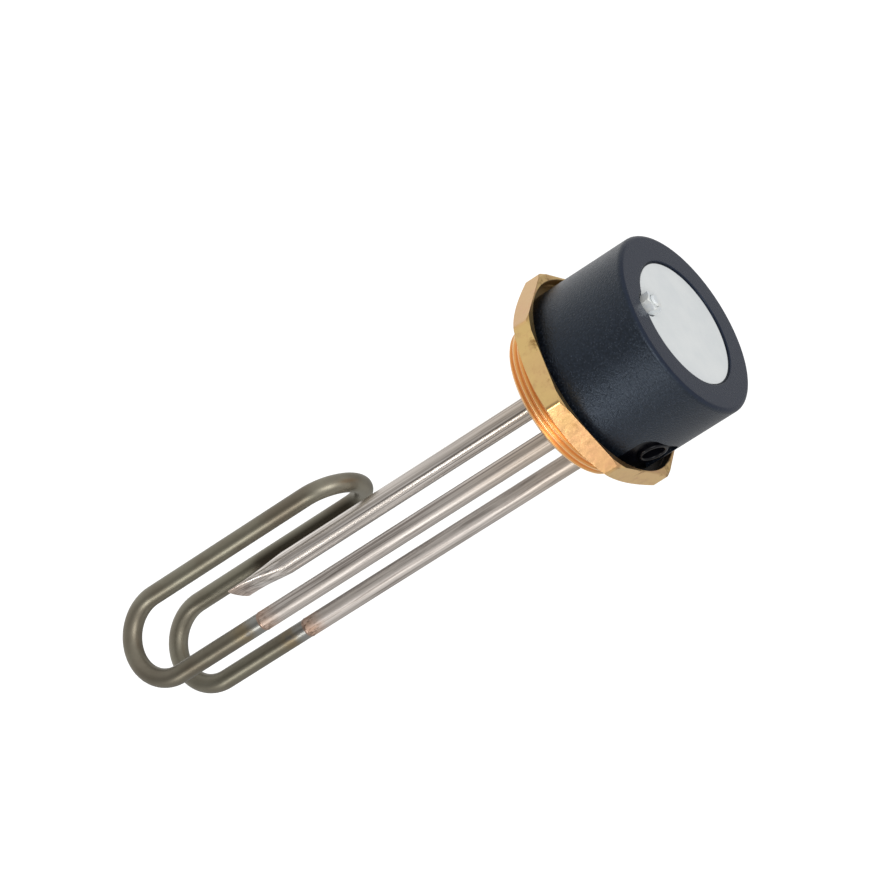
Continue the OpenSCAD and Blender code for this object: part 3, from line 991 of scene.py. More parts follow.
@dataclass(frozen=True)
class OxidisedSheath(Finish):
    """Olive-grey oxidised sheath, with temper colours below the brazed joints."""

    olive: Tone = (130, 126, 111)
    brown: Tone = (114, 106, 92)
    silver: Tone = (146, 147, 145)
    straw: Tone = (132, 114, 84)
    steel: Tone = (92, 100, 108)
    # Painted shade tone for the return next to the pocket, also the darker tone of the legs.
    dark: Tone = (50, 45, 37)
    # Painted highlight tone for the bent parts.
    wear_and_sheen: Tone = (164, 160, 146)
    joint_z: float = -0.165
    clean_depth: Point = (0.0080, 0.0020)
    band_depth: Point = (0.0170, 0.0060)
    leg_x: Point = (0.004, 0.012)
    return_x: Point = (-0.0220, -0.0175)
    far_y: Point = (0.004, 0.012)
    # Height range of the painted shade on the return next to the pocket.
    pocket_shade_foot_z: Point = (-0.188, -0.172)
    pocket_shade_top_z: Point = (-0.112, -0.124)
    bend_z: Point = (-0.204, -0.216)
    top_bend_z: Point = (-0.126, -0.114)

    def draw(self, sheet: NodeSheet) -> None:
        """Draws the mottled oxide, fine scale, the legs' temper bands, a painted highlight on the bent parts,
        a painted shade on the return next to the pocket and darker legs.
        """
        across, along, height = sheet.axes()
        mottle = sheet.noise(75, 5, (1.0, 1.0, 0.5), 0.6)
        patch = sheet.noise(240, 4, (1.0, 1.0, 0.6))
        scale = sheet.noise(1900, 3)
        wander = (mottle + patch - 1.0) * 0.009
        leg = across.step(*self.leg_x)
        depth = self.joint_z - height + wander
        clean = leg * depth.step(*self.clean_depth)
        band = leg * depth.step(*self.band_depth) * (1 - clean)
        # Painted shade on the inner return next to the pocket.
        inner_run = along.step(*self.far_y) * across.step(*self.return_x) * (1 - leg)
        ragged = (height + wander * 1.5).step(*self.pocket_shade_foot_z)
        painted_pocket_shade = inner_run * ragged * height.step(*self.pocket_shade_top_z)
        # A painted highlight lightens the low hairpin turns a little and the top turn more.
        painted_bend_highlight = height.step(*self.bend_z) * 0.4 + (1 - leg) * height.step(*self.top_bend_z)
        sheet.surface({
            "Base Color": sheet.coat(
                # The bent parts get a painted highlight.
                self.olive, (mottle.step(0.34, 0.68), self.brown), (painted_bend_highlight * (0.2 + patch * 0.4), self.wear_and_sheen),
                # A painted shade darkens the return next to the pocket; the legs are painted darker than the
                # returns.
                (painted_pocket_shade * 0.75, self.dark), (leg * 0.22, self.dark), (band * 0.5, self.straw),
                (band * patch.step(0.50, 0.66) * 0.6, self.steel),
                (clean * (0.35 + patch * 0.6), self.silver)),
            "Metallic": 1.0,
            "Roughness": 0.34 + mottle * 0.10 + scale * 0.06 - clean * 0.06,
            "Normal": sheet.bump(scale, 0.00003, 0.45),
        })


@dataclass(frozen=True)
class BrazeMetal(Finish):
    """Braze metal that ran and froze."""

    copper: Tone = (152, 130, 116)
    dark: Tone = (98, 84, 75)

    def draw(self, sheet: NodeSheet) -> None:
        """Draws flow marks and dark flux specks."""
        flow = sheet.noise(700, 4, (1.0, 1.0, 0.6))
        flux = sheet.noise(1500, 3).step(0.56, 0.72)
        sheet.surface({
            "Base Color": sheet.coat(self.copper, (flux * 0.7, self.dark)),
            "Metallic": 1.0,
            "Roughness": 0.28 + flow * 0.2 + flux * 0.2,
            "Normal": sheet.bump(flow, 0.00012, 0.6),
        })


@dataclass(frozen=True)
class MouldedRubber(Finish):
    """Black moulded rubber with a wet-looking skin."""

    black: Tone = (6, 6, 10)
    bloom: Tone = (14, 14, 20)

    def draw(self, sheet: NodeSheet) -> None:
        """Draws a fine skin and a trace of bloom."""
        skin = sheet.noise(1800, 3)
        bloom = sheet.noise(220, 4)
        sheet.surface({
            "Base Color": sheet.coat(self.black, (bloom.step(0.45, 0.8), self.bloom)),
            "Roughness": 0.22 + bloom * 0.14,
            "Specular IOR Level": 0.16,
            "Normal": sheet.bump(skin, 0.00003, 0.4),
        })


@dataclass(frozen=True)
class FiredCeramic(Finish):
    """Unglazed fired ceramic."""

    pale: Tone = (236, 232, 222)
    fleck: Tone = (196, 186, 168)

    def draw(self, sheet: NodeSheet) -> None:
        """Draws a chalky body with fine flecks."""
        body = sheet.noise(900, 4)
        fleck = sheet.noise(2600, 2).step(0.62, 0.74)
        sheet.surface({
            "Base Color": sheet.coat(self.pale, (fleck * 0.6, self.fleck)),
            "Roughness": 0.62 + body * 0.2,
            "Normal": sheet.bump(body, 0.00004, 0.6),
        })


@dataclass(frozen=True)
class TurnedBrass(Finish):
    """Small brass pieces with turning lines."""

    bright: Tone = (228, 196, 122)
    dull: Tone = (196, 156, 88)

    def draw(self, sheet: NodeSheet) -> None:
        """Draws turning lines and a light tarnish."""
        lines = sheet.noise(1400, 2, (0.1, 0.1, 6.0))
        tarnish = sheet.noise(240, 4)
        sheet.surface({
            "Base Color": sheet.coat(self.bright, (tarnish.step(0.4, 0.7), self.dull)),
            "Metallic": 1.0,
            "Roughness": 0.22 + tarnish * 0.16 + lines * 0.08,
            "Normal": sheet.bump(lines, 0.00002, 0.5),
        })


@dataclass(frozen=True)
class SmoothMoulding(Finish):
    """Plain moulded plastic with a faint orange peel."""

    colour: Tone
    shade: Tone
    roughness: float

    def draw(self, sheet: NodeSheet) -> None:
        """Draws flow marks and the peel."""
        flow = sheet.noise(130, 4)
        peel = sheet.noise(1600, 2)
        sheet.surface({
            "Base Color": sheet.coat(self.colour, (flow.step(0.35, 0.7), self.shade)),
            "Roughness": self.roughness + flow * 0.1,
            "Normal": sheet.bump(peel, 0.00002, 0.5),
        })


FINISHES: tuple[Finish, ...] = (
    StampedBrass("head_brass"),
    SparkMoulding("cap_moulding"),
    BareLabel("label_face"),
    ZincPlate("zinc_steel"),
    DrawnTube("tinned_tube"),
    OxidisedSheath("element_alloy"),
    BrazeMetal("braze_metal"),
    MouldedRubber("grommet_rubber"),
    FiredCeramic("seal_ceramic"),
    TurnedBrass("terminal_brass"),
    SmoothMoulding("base_moulding", (46, 40, 36), (34, 30, 28), 0.30),
    SmoothMoulding("cover_moulding", (232, 228, 216), (220, 214, 200), 0.45),
    SmoothMoulding("dial_moulding", (186, 34, 28), (160, 26, 24), 0.32),
    TurnedBrass("stem_metal", (214, 174, 124), (186, 142, 98)),
)


class Wardrobe:
    """All finishes as materials, by the record's slot."""

    def __init__(self) -> None:
        """Makes every finish once."""
        self.materials = {finish.slot: finish.material() for finish in FINISHES}

    def __getitem__(self, slot: str) -> bpy.types.Material:
        """Gives the material of a slot."""
        return self.materials[slot]


@dataclass
class Assembly:
    """A sub-assembly, which shapes its pieces and dresses them from the wardrobe."""

    wardrobe: Wardrobe

    def build(self) -> None:
        """Makes the assembly's pieces."""
        raise NotImplementedError

    def dress(self, piece: Workpiece, slot: str, node: str, body: Body = Body.HEATER,
              crease: float = CREASE) -> None:
        """Brings a piece to metres, gives it its finish and hangs it on its body.

        Args:
            piece: The shaped piece.
            slot: The record's material slot.
            node: The CAD node that the piece stands for.
            body: The CAD body that carries the piece.
            crease: Edges sharper than this many degrees stay sharp.
        """
        obj = piece.obj
        piece.hold()
        obj.scale = (MM, MM, MM)
        bpy.ops.object.transform_apply(location=True, rotation=True, scale=True)
        bpy.ops.object.shade_smooth_by_angle(angle=math.radians(crease))
        weigh = obj.modifiers.new("weigh", "WEIGHTED_NORMAL")
        weigh.keep_sharp = True
        piece.apply(weigh)
        obj.data.materials.clear()
        obj.data.materials.append(self.wardrobe[slot])
        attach(obj, body.value)
        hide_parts(node)
        LOG.info("%s: %d faces, stands for %s", obj.name, len(obj.data.polygons), node)


@dataclass
class BrassHead(Assembly):
    """The stamped octagon plug with its pipe thread."""

    across_flats: float = 86.0
    flats: int = 8
    flange_h: float = 9.0
    seat_inset: float = 0.3
    corner_slope: float = 30.0
    top_corner_drop: float = 0.7
    corner_turn: float = 0.35
    counterbore_r: float = 42.1
    counterbore_edge: float = 0.4
    brim_edge: float = 0.25
    thread: Thread = Thread(32.855, 2.309, 1.479)
    thread_lead: float = 1.2
    dish_r: float = 29.955
    dish_edge: float = 0.6
    ledge_edge: float = 0.3
    sink: float = 0.3
    sink_past: float = 0.5
    hub_inset: float = 20.0
    steps: int = 160
    holes: tuple[tuple[float, float, float, float], ...] = (
        (LEG_X, -LEG_Y, 4.15, -13.0), (LEG_X, LEG_Y, 4.15, -13.0), (*POCKET, 4.75, -13.0),
        (*STUD, 2.55, -10.0), (*EARTH, 2.05, -9.0))

    def flange(self) -> Workpiece:
        """Turns the corners of the octagon.

        Returns:
            The flange blank.
        """
        corner_r = self.across_flats / 2 / math.cos(math.pi / self.flats)
        slope = math.tan(math.radians(self.corner_slope))
        seat_r = self.across_flats / 2 - self.seat_inset
        turned_r = corner_r - self.corner_turn
        rise = (turned_r - seat_r) * slope
        top_r = turned_r - self.top_corner_drop / slope
        hub_r = seat_r - self.hub_inset
        blank = Workpiece.prism("head_stamping", self.flats, corner_r, 0, self.flange_h,
                                turn=180 / self.flats)
        lathe = Workpiece.turned("lathe", [
            (hub_r, -PAST), (seat_r - PAST / slope, -PAST), (turned_r, rise),
            (turned_r, self.flange_h - self.top_corner_drop), (top_r - PAST / slope, self.flange_h + PAST),
            (hub_r, self.flange_h + PAST)], self.steps)
        return blank.work(lathe, Operation.KEEP)

    def boss(self) -> Workpiece:
        """Winds the pipe thread and turns its lead-in.

        Returns:
            The threaded boss.
        """
        crest_r = self.thread.crest_r
        end_r = crest_r - self.thread_lead
        boss = Workpiece.threaded("boss", self.thread, BOSS_END_Z, PAST, steps=144, cuts=12)
        lathe = Workpiece.turned("lathe", [
            (end_r / 2, BOSS_END_Z - PAST), (end_r - PAST, BOSS_END_Z - PAST),
            (crest_r + PAST, BOSS_END_Z + self.thread_lead + PAST),
            (crest_r + PAST, 2 * PAST), (end_r / 2, 2 * PAST)], self.steps)
        return boss.work(lathe, Operation.KEEP)

    def build(self) -> None:
        """Joins flange and boss, cuts the hollow and the holes, and dresses the head."""
        head = self.flange().work(self.boss(), Operation.JOIN)
        dish_r, bore_r, brim_z = self.dish_r, self.counterbore_r, self.flange_h
        bowl = Workpiece.turned("bowl", [
            (dish_r / 2, DISH_Z), (dish_r - self.dish_edge, DISH_Z), (dish_r, DISH_Z + self.dish_edge),
            (dish_r, CAP_FOOT_Z - self.ledge_edge), (dish_r + self.ledge_edge, CAP_FOOT_Z),
            (bore_r - self.counterbore_edge, CAP_FOOT_Z), (bore_r, CAP_FOOT_Z + self.counterbore_edge),
            (bore_r, brim_z - self.brim_edge), (bore_r + 2 * self.brim_edge, brim_z + self.brim_edge),
            (dish_r / 2, brim_z + self.brim_edge)], self.steps)
        head.work(bowl, Operation.CUT)
        for x, y, radius, foot in self.holes:
            drill = Workpiece.turned("drill", [
                (radius, foot), (radius, DISH_Z - self.sink),
                (radius + self.sink + self.sink_past, DISH_Z + self.sink_past)], steps=48, centre=(x, y))
            head.work(drill, Operation.CUT)
        self.dress(head, "head_brass", "brass_head", crease=28.0)


@dataclass
class Element(Assembly):
    """The folded hairpin with its cold legs and brazing."""

    return_x: float = -18.5
    sheath_r: float = 4.0
    spigot_r: float = 3.15
    spigot_l: float = 10.0
    shoulder: float = 0.2
    joint_z: float = -165.0
    bend_z: float = -210.25
    top_bend_z: float = -126.8
    leg_r: float = 4.1
    leg_bore_r: float = 3.2
    leg_top_z: float = 2.0
    leg_edge: float = 0.2
    joint_edges: Point = (0.25, 0.35)
    bore_seam: Point = (-40.0, -20.0)
    collar_l: float = 1.2
    collar_t: float = 0.10
    collar_root: float = 0.1
    collar_steps: int = 12
    fillet: float = 2.0
    fillet_root: float = 0.4
    fillet_end: float = 0.03
    fillet_steps: int = 8
    film: float = 0.02
    ring_steps: int = 40
    bend_steps: int = 40
    leg_steps: int = 48

    def sheath(self) -> None:
        """Bends one tube through both hairpins and the top bend."""
        fold_x = (LEG_X + self.return_x) / 2
        grow = self.sheath_r / self.spigot_r
        start = (LEG_X, -LEG_Y, self.joint_z + self.spigot_l)
        tube = Workpiece.circle("sheath_tube", self.spigot_r, start, self.ring_steps)
        with tube.editing():
            bpy.ops.mesh.select_all(action="SELECT")
            tube.draw((0, 0, -self.spigot_l))
            tube.draw((0, 0, -self.shoulder), grow, (LEG_X, -LEG_Y, 0))
            tube.draw((0, 0, self.bend_z - self.joint_z + self.shoulder))
            tube.bend((fold_x, -LEG_Y, self.bend_z), (0, 1, 0), 180, self.bend_steps)
            tube.draw((0, 0, self.top_bend_z - self.bend_z))
            tube.bend((self.return_x, 0, self.top_bend_z), (1, 0, 0), -180, self.bend_steps)
            tube.draw((0, 0, self.bend_z - self.top_bend_z))
            tube.bend((fold_x, LEG_Y, self.bend_z), (0, 1, 0), -180, self.bend_steps)
            tube.draw((0, 0, self.joint_z - self.bend_z - self.shoulder))
            tube.draw((0, 0, self.shoulder), 1 / grow, (LEG_X, LEG_Y, 0))
            tube.draw((0, 0, self.spigot_l))
            tube.close()
        self.dress(tube, "element_alloy", "element_sheath", crease=50.0)

    def cold_legs(self) -> None:
        """Turns the two sleeves with softened ends."""
        bore_r, leg_r = self.leg_bore_r, self.leg_r
        inner, outer = self.joint_edges
        seam_low, seam_high = self.bore_seam
        outline = soften([
            (bore_r, seam_low, 0), (bore_r, self.joint_z, inner), (leg_r, self.joint_z, outer),
            (leg_r, self.leg_top_z, self.leg_edge), (bore_r, self.leg_top_z, self.leg_edge),
            (bore_r, seam_high, 0)], 3)
        near = Workpiece.turned("leg_tube_near", outline, self.leg_steps, (LEG_X, -LEG_Y), ring=True)
        far = near.copy("leg_tube_far", ACROSS)
        self.dress(near, "tinned_tube", "cold_leg_near")
        self.dress(far, "tinned_tube", "cold_leg_far")

    def collars(self) -> None:
        """Runs a bead of braze round each sleeve joint."""
        root_r = self.sheath_r - self.collar_root
        bead = [(root_r, self.joint_z - self.collar_l / 2)]
        for k in range(self.collar_steps + 1):
            share = k / self.collar_steps
            swell = self.collar_t * math.sin(math.pi * share) ** 1.5
            base = self.sheath_r + (self.leg_r - self.sheath_r) * ease(share) + self.film
            bead.append((base + swell, self.joint_z + self.collar_l * (share - 0.5)))
        bead.append((root_r, self.joint_z + self.collar_l / 2))
        near = Workpiece.turned("braze_bead", bead, self.leg_steps, (LEG_X, -LEG_Y), ring=True)
        far = near.copy("far_bead", ACROSS)
        self.dress(Workpiece.gather([near, far]), "braze_metal", "braze_collars", crease=60.0)

    def fillets(self) -> None:
        """Runs a fillet of braze under the head round each tube."""
        tubes = ((LEG_X, -LEG_Y, self.leg_r), (LEG_X, LEG_Y, self.leg_r), (*POCKET, POCKET_R))
        angles = [math.pi / 2 * k / self.fillet_steps for k in range(self.fillet_steps)]
        root_z, foot_z = BOSS_END_Z + self.fillet_root, BOSS_END_Z - self.fillet
        rings = []
        for x, y, radius in tubes:
            inner = radius + self.film
            outline = [(inner, root_z), (inner + self.fillet, root_z)]
            outline += [(inner + self.fillet * (1 - math.sin(a)),
                         BOSS_END_Z - self.fillet * (1 - math.cos(a))) for a in angles]
            outline.append((inner + self.fillet_end, foot_z))
            rings.append(Workpiece.turned("braze_fillet", outline, self.leg_steps, (x, y), ring=True))
        self.dress(Workpiece.gather(rings), "braze_metal", "braze_fillets", crease=60.0)

    def build(self) -> None:
        """Makes the element's pieces."""
        self.sheath()
        self.cold_legs()
        self.collars()
        self.fillets()


@dataclass
class Pocket(Assembly):
    """The thermostat's pocket, a tube pressed flat at its lower end."""

    bore_r: float = 4.0
    top_z: float = 0.0
    floor_rise: float = 2.0
    pinch_top_z: float = -154.5
    pinch_l: float = 24.0
    pinch_w: float = 15.0
    pinch_t: float = 2.0
    squeeze: float = 0.65
    evenness: float = 0.6
    tail_l: float = 2.5
    tail_edge: float = 0.3
    tail_taper: Point = (0.8, 0.985)
    ring_steps: int = 56
    press_steps: int = 20

    def pressed(self, share: float) -> float:
        """Gives how flat the tube is at a share of the pressed length, with soft ends."""
        return self.evenness * share + (1 - self.evenness) * ease(share)

    def build(self) -> None:
        """Draws the tube down, presses its end flat and bores it from above."""
        middle = (*POCKET, 0.0)
        floor_z = self.pinch_top_z + self.floor_rise
        tube = Workpiece.circle("pocket_tube", self.bore_r, (*POCKET, floor_z), self.ring_steps)
        wide, thin = self.pinch_w / 2 / POCKET_R, self.pinch_t * self.squeeze / POCKET_R
        with tube.editing():
            bpy.ops.mesh.select_all(action="SELECT")
            tube.draw((0, 0, self.top_z - floor_z))
            tube.draw((0, 0, 0), POCKET_R / self.bore_r, middle)
            tube.draw((0, 0, self.pinch_top_z - self.top_z))
            across = along = 1.0
            for k in range(1, self.press_steps + 1):
                share = self.pressed(k / self.press_steps)
                new_across, new_along = 1 + (thin - 1) * share, 1 + (wide - 1) * share
                tube.draw((0, 0, -self.pinch_l / self.press_steps),
                          (new_across / across, new_along / along), middle)
                across, along = new_across, new_along
            tube.draw((0, 0, self.tail_edge - self.tail_l))
            tube.draw((0, 0, -self.tail_edge), self.tail_taper, middle)
            tube.close()
        for vertex in tube.obj.data.vertices:
            share = self.pressed(max(0.0, min(1.0, (self.pinch_top_z - vertex.co.z) / self.pinch_l)))
            half = POCKET_R + (self.pinch_t / 2 - POCKET_R) * share
            vertex.co.x = POCKET[0] + max(-half, min(half, vertex.co.x - POCKET[0]))
        self.dress(tube, "tinned_tube", "thermostat_pocket", crease=40.0)


@dataclass(frozen=True)
class Archway:
    """The arched cable entry in the cap's wall."""

    back_x: float = 32.0
    width: float = 24.0
    top_z: float = 22.5
    corner_r: float = 6.0
    corner_steps: int = 10

    def block(self, name: str, front: float, grow: float = 0.0, drop: float = 0.0) -> Workpiece:
        """Makes a block that fills the entry.

        Args:
            name: The piece's name.
            front: X of its front.
            grow: How far its outline lies outside the entry.
            drop: How far it reaches below the cap's foot.

        Returns:
            The arched block.
        """
        half, top = self.width / 2 + grow, self.top_z + grow
        block = Workpiece.block(name, (self.back_x, -half, CAP_FOOT_Z - drop), (front, half, top))
        edges = [lambda co, side=side: co.z > top - WELD and co.y * side > half - WELD for side in SIDES]
        return block.round_edges(edges, self.corner_r + grow, self.corner_steps)


@dataclass
class Cap(Assembly):
    """The moulded cap with its label, stud and nut."""

    radius: float = 39.0
    top_z: float = 49.5
    edge_r: float = 2.0
    foot_edges: Point = (0.3, 0.4)
    roof_z: float = 46.1
    roof_edge: float = 1.2
    recess_r: float = 27.2
    recess_z: float = 48.5
    recess_edges: Point = (0.35, 0.15)
    scallop_r: float = 5.4
    scallop_sink: float = 0.04
    scallop_edge: float = 0.3
    boss_r: float = 5.0
    boss_l: float = 9.0
    boss_edge: float = 0.4
    broken_edge: float = 0.25
    hub_r: float = 12.0
    stud_hole_r: float = 2.75
    stud_foot_z: float = -10.0
    stud_top_z: float = 53.4
    stud_thread: Thread = Thread(2.5, 0.8, 0.46)
    nut_r: float = 4.6188
    nut_h: float = 4.0
    nut_turn: float = 29.0
    nut_fit: float = 0.03
    label_r: float = 26.4
    label_t: float = 0.25
    label_edge: float = 0.06
    notch_r: float = 4.75
    entry: Archway = Archway()

    def shell(self) -> None:
        """Turns the cap, cuts the recess's scallop and the arched entry, and sinks the stud's hole."""
        inner_edge, outer_edge = self.foot_edges
        brink, foot = self.recess_edges
        shell = Workpiece.turned("cap_shell", soften([
            (self.hub_r, self.roof_z, 0), (CAP_INNER_R, self.roof_z, self.roof_edge),
            (CAP_INNER_R, CAP_FOOT_Z, inner_edge), (self.radius, CAP_FOOT_Z, outer_edge),
            (self.radius, self.top_z, self.edge_r), (self.recess_r, self.top_z, brink),
            (self.recess_r, self.recess_z, foot), (self.hub_r, self.recess_z, 0)], 6), steps=192)
        boss_z = self.roof_z - self.boss_l
        boss = Workpiece.turned("boss", [
            (self.boss_r - self.boss_edge, boss_z), (self.boss_r, boss_z + self.boss_edge),
            (self.boss_r, self.roof_z + PAST)], 48, STUD)
        shell.work(boss, Operation.JOIN)
        scallop = Workpiece.turned("scallop", [
            (self.scallop_r, self.recess_z - self.scallop_sink),
            (self.scallop_r, self.top_z - self.scallop_edge),
            (self.scallop_r + 2 * self.scallop_edge, self.top_z + self.scallop_edge)], 64, STUD)
        shell.work(scallop, Operation.CUT)
        hole = Workpiece.turned("hole", [
            (self.stud_hole_r, boss_z - PAST), (self.stud_hole_r, self.top_z + PAST)], 40, STUD)
        shell.work(hole, Operation.CUT)
        shell.work(self.entry.block("entry", self.radius + PAST, drop=PAST), Operation.CUT)
        self.dress(shell.bevel(self.broken_edge), "cap_moulding", "cap")

    def label(self) -> None:
        """Punches the round label with its notch for the nut."""
        face_z = self.recess_z + self.label_t
        label = Workpiece.turned("label_disc", [
            (self.label_r, self.recess_z), (self.label_r, face_z - self.label_edge),
            (self.label_r - self.label_edge, face_z)], steps=160)
        notch = Workpiece.turned("notch", [
            (self.notch_r, self.recess_z - PAST), (self.notch_r, face_z + PAST)], 64, STUD)
        self.dress(label.work(notch, Operation.CUT), "label_face", "rating_label")

    def fastening(self) -> None:
        """Winds the stud's thread and chamfers the nut."""
        stud = Workpiece.rod("stud_thread", self.stud_thread, self.stud_foot_z, self.stud_top_z, STUD)
        self.dress(stud, "zinc_steel", "cap_stud", crease=40.0)
        nut = Workpiece.nut("stud_nut", self.nut_r, self.recess_z, self.recess_z + self.nut_h,
                            self.stud_thread.crest_r + self.nut_fit, STUD, self.nut_turn)
        self.dress(nut, "zinc_steel", "cap_nut")

    def build(self) -> None:
        """Makes the cap's pieces."""
        self.shell()
        self.label()
        self.fastening()


@dataclass
class CableEntry(Assembly):
    """The rubber grommet in the cap's arched entry."""

    entry: Archway = Archway()
    overlap: float = 2.0
    fit: float = 0.15
    face_r: float = 37.4
    hole_r: float = 4.5
    hole_over: float = 0.3
    lip_r: float = 6.3
    lip_bore_r: float = 4.45
    lip_front_x: float = 38.8
    lip_edge: float = 0.85
    root_inset: float = 0.5
    root_edge: float = 0.2
    cable_z: float = 15.5

    def slab(self, name: str, grow: float, face_r: float) -> Workpiece:
        """Makes an arched slab with a face that follows the cap's wall.

        Args:
            name: The piece's name.
            grow: How far the slab's outline lies outside the entry.
            face_r: Radius of its face about the cap's axis.

        Returns:
            The slab.
        """
        slab = self.entry.block(name, face_r + PAST, grow)
        face = Workpiece.prism("face", 160, face_r, CAP_FOOT_Z - PAST, self.entry.top_z + grow + PAST)
        return slab.work(face, Operation.KEEP)

    def along_cable(self, piece: Workpiece) -> Workpiece:
        """Lays an upright turned piece along the cable's axis."""
        return piece.move((0, 0, self.cable_z), (0, 90, 0))

    def build(self) -> None:
        """Joins flange, plug and lip, and opens the cable's hole."""
        grommet = self.slab("entry_grommet", self.overlap, CAP_INNER_R - self.fit)
        grommet.work(self.slab("plug", -self.fit, self.face_r), Operation.JOIN)
        middle = self.hole_r + (self.lip_r - self.hole_r) / 2
        root, front = self.entry.back_x + self.root_inset, self.lip_front_x
        outline = soften([
            (middle, root, 0), (self.lip_r, root, self.root_edge), (self.lip_r, front, self.lip_edge),
            (self.lip_bore_r, front, self.lip_edge), (self.lip_bore_r, root, self.root_edge),
            (middle, root, 0)], 6)
        lip = self.along_cable(Workpiece.turned("lip", outline[:-1], 64, ring=True))
        drill_r = self.hole_r + self.hole_over
        drill = self.along_cable(Workpiece.turned("drill", [
            (drill_r, self.entry.back_x - PAST), (drill_r, front + PAST)], 64))
        grommet.work(drill, Operation.CUT)
        grommet.work(lip, Operation.JOIN)
        self.dress(grommet, "grommet_rubber", "cable_grommet")


@dataclass
class Terminals(Assembly):
    """The element's pins with their seals, nuts and washers, the strap and plate, and the earth screw."""

    pin: Point = (LEG_X, -LEG_Y)
    pin_thread: Thread = Thread(2.0, 0.7, 0.40)
    pin_foot_z: float = -20.0
    pin_foot_edge: float = 0.5
    pin_thread_z: float = 6.0
    pin_neck: float = 0.4
    pin_overlap: float = 1.5
    pin_top_z: float = 18.3
    bore_fit: float = 0.05
    seal_r: float = 4.1
    seal_plug_r: float = 3.12
    seal_bore_r: float = 2.08
    seal_foot_z: float = -4.0
    seal_step_z: float = 2.0
    seal_top_z: float = 8.8
    seal_seam: Point = (0.0, 1.0)
    nut_r: float = 4.0415
    nut_h: float = 3.2
    washer_r: float = 4.4
    sheet_t: float = 0.8
    deck_z: float = 12.0
    screw_thread: Thread = Thread(1.75, 0.6, 0.32)
    screw_head: Point = (3.0, 2.0)
    screw_l: float = 7.0
    strap_w: float = 5.0
    strap_edge: float = 0.12
    eye_r: float = 3.5
    plate_edge: float = 0.15
    earth_head: Point = (3.9, 2.6)
    earth_l: float = 6.0
    earth_washer_r: float = 4.5

    def pins(self) -> None:
        """Makes the part-threaded pins and the ceramic beads that seal the cold legs."""
        crest, neck_z = self.pin_thread.crest_r, self.pin_thread_z
        near = Workpiece.turned("pin_rod_near", [
            (crest - self.pin_foot_edge, self.pin_foot_z), (crest, self.pin_foot_z + self.pin_foot_edge),
            (crest, neck_z), (crest - self.pin_neck, neck_z + self.pin_neck)], 40, self.pin)
        thread = Workpiece.rod("thread", self.pin_thread, neck_z - self.pin_overlap, self.pin_top_z, self.pin)
        near.work(thread, Operation.JOIN)
        far = near.copy("pin_rod_far", ACROSS)
        bore_r, plug_r, bead_r = self.seal_bore_r, self.seal_plug_r, self.seal_r
        foot_z, step_z, top_z = self.seal_foot_z, self.seal_step_z, self.seal_top_z
        seam_low, seam_high = self.seal_seam
        bead = Workpiece.turned("seal_bead_near", soften([
            (bore_r, seam_low, 0), (bore_r, foot_z, 0.2), (plug_r, foot_z, 0.4), (plug_r, step_z, 0.1),
            (bead_r, step_z, 0.3), (bead_r, top_z, 0.9), (bore_r, top_z, 0.3), (bore_r, seam_high, 0)], 5),
            48, self.pin, ring=True)
        twin = bead.copy("seal_bead_far", ACROSS)
        self.dress(near, "zinc_steel", "terminal_pin_near", crease=40.0)
        self.dress(far, "zinc_steel", "terminal_pin_far", crease=40.0)
        self.dress(bead, "seal_ceramic", "end_seal_near", crease=40.0)
        self.dress(twin, "seal_ceramic", "end_seal_far", crease=40.0)

    def stacks(self) -> None:
        """Stacks the nuts and washers on the pins."""
        bore_r = self.pin_thread.crest_r + self.bore_fit
        seat_z = self.seal_top_z
        stack_z = self.deck_z + 2 * self.sheet_t
        low = Workpiece.nut("terminal_nut", self.nut_r, seat_z, seat_z + self.nut_h, bore_r, self.pin)
        high = low.copy("top_nut", (0, 0, stack_z - seat_z))
        nuts = [low, high, low.copy("far_nut", ACROSS), high.copy("far_top_nut", ACROSS)]
        self.dress(Workpiece.gather(nuts), "terminal_brass", "terminal_nuts")
        foot = Workpiece.washer("pin_washer", self.washer_r, bore_r, self.deck_z,
                                self.deck_z + self.sheet_t, self.pin)
        top = foot.copy("top_washer", (0, 0, self.sheet_t))
        washers = [foot, top, top.copy("far_washer", ACROSS)]
        self.dress(Workpiece.gather(washers), "zinc_steel", "terminal_washers")

    def punch(self, sheet: Workpiece, radius: float, centre: Point) -> None:
        """Punches a hole through a sheet on the deck.

        Args:
            sheet: The sheet.
            radius: Radius of what goes through.
            centre: Place of the hole.
        """
        tool = Workpiece.prism("punch", 40, radius + self.bore_fit, self.deck_z - PAST,
                               self.deck_z + self.sheet_t + PAST, centre)
        sheet.work(tool, Operation.CUT)

    def straps(self) -> None:
        """Punches the strap to the far pin and the plate under the line screw."""
        low, high = self.deck_z, self.deck_z + self.sheet_t
        x, y = SCREW
        run = Vector((LEG_X - x, LEG_Y - y))
        half = self.strap_w / 2
        strap = Workpiece.prism("link_strip", 64, self.eye_r, low, high)
        strap.work(Workpiece.prism("eye", 64, self.eye_r, low, high, (run.length, 0)), Operation.JOIN)
        strap.work(Workpiece.block("web", (0, -half, low), (run.length, half, high)), Operation.JOIN)
        self.punch(strap, self.screw_thread.crest_r, (0.0, 0.0))
        self.punch(strap, self.pin_thread.crest_r, (run.length, 0.0))
        strap.bevel(self.strap_edge).move((x, y, 0), (0, 0, math.degrees(math.atan2(run.y, run.x))))
        self.dress(strap, "terminal_brass", "link_strap")
        reach = self.eye_r
        plate = Workpiece.block("line_tab", (x - reach, -y - reach, low), (x + reach, -y + reach, high))
        self.punch(plate, self.screw_thread.crest_r, (x, -y))
        self.dress(plate.bevel(self.plate_edge), "terminal_brass", "line_plate")

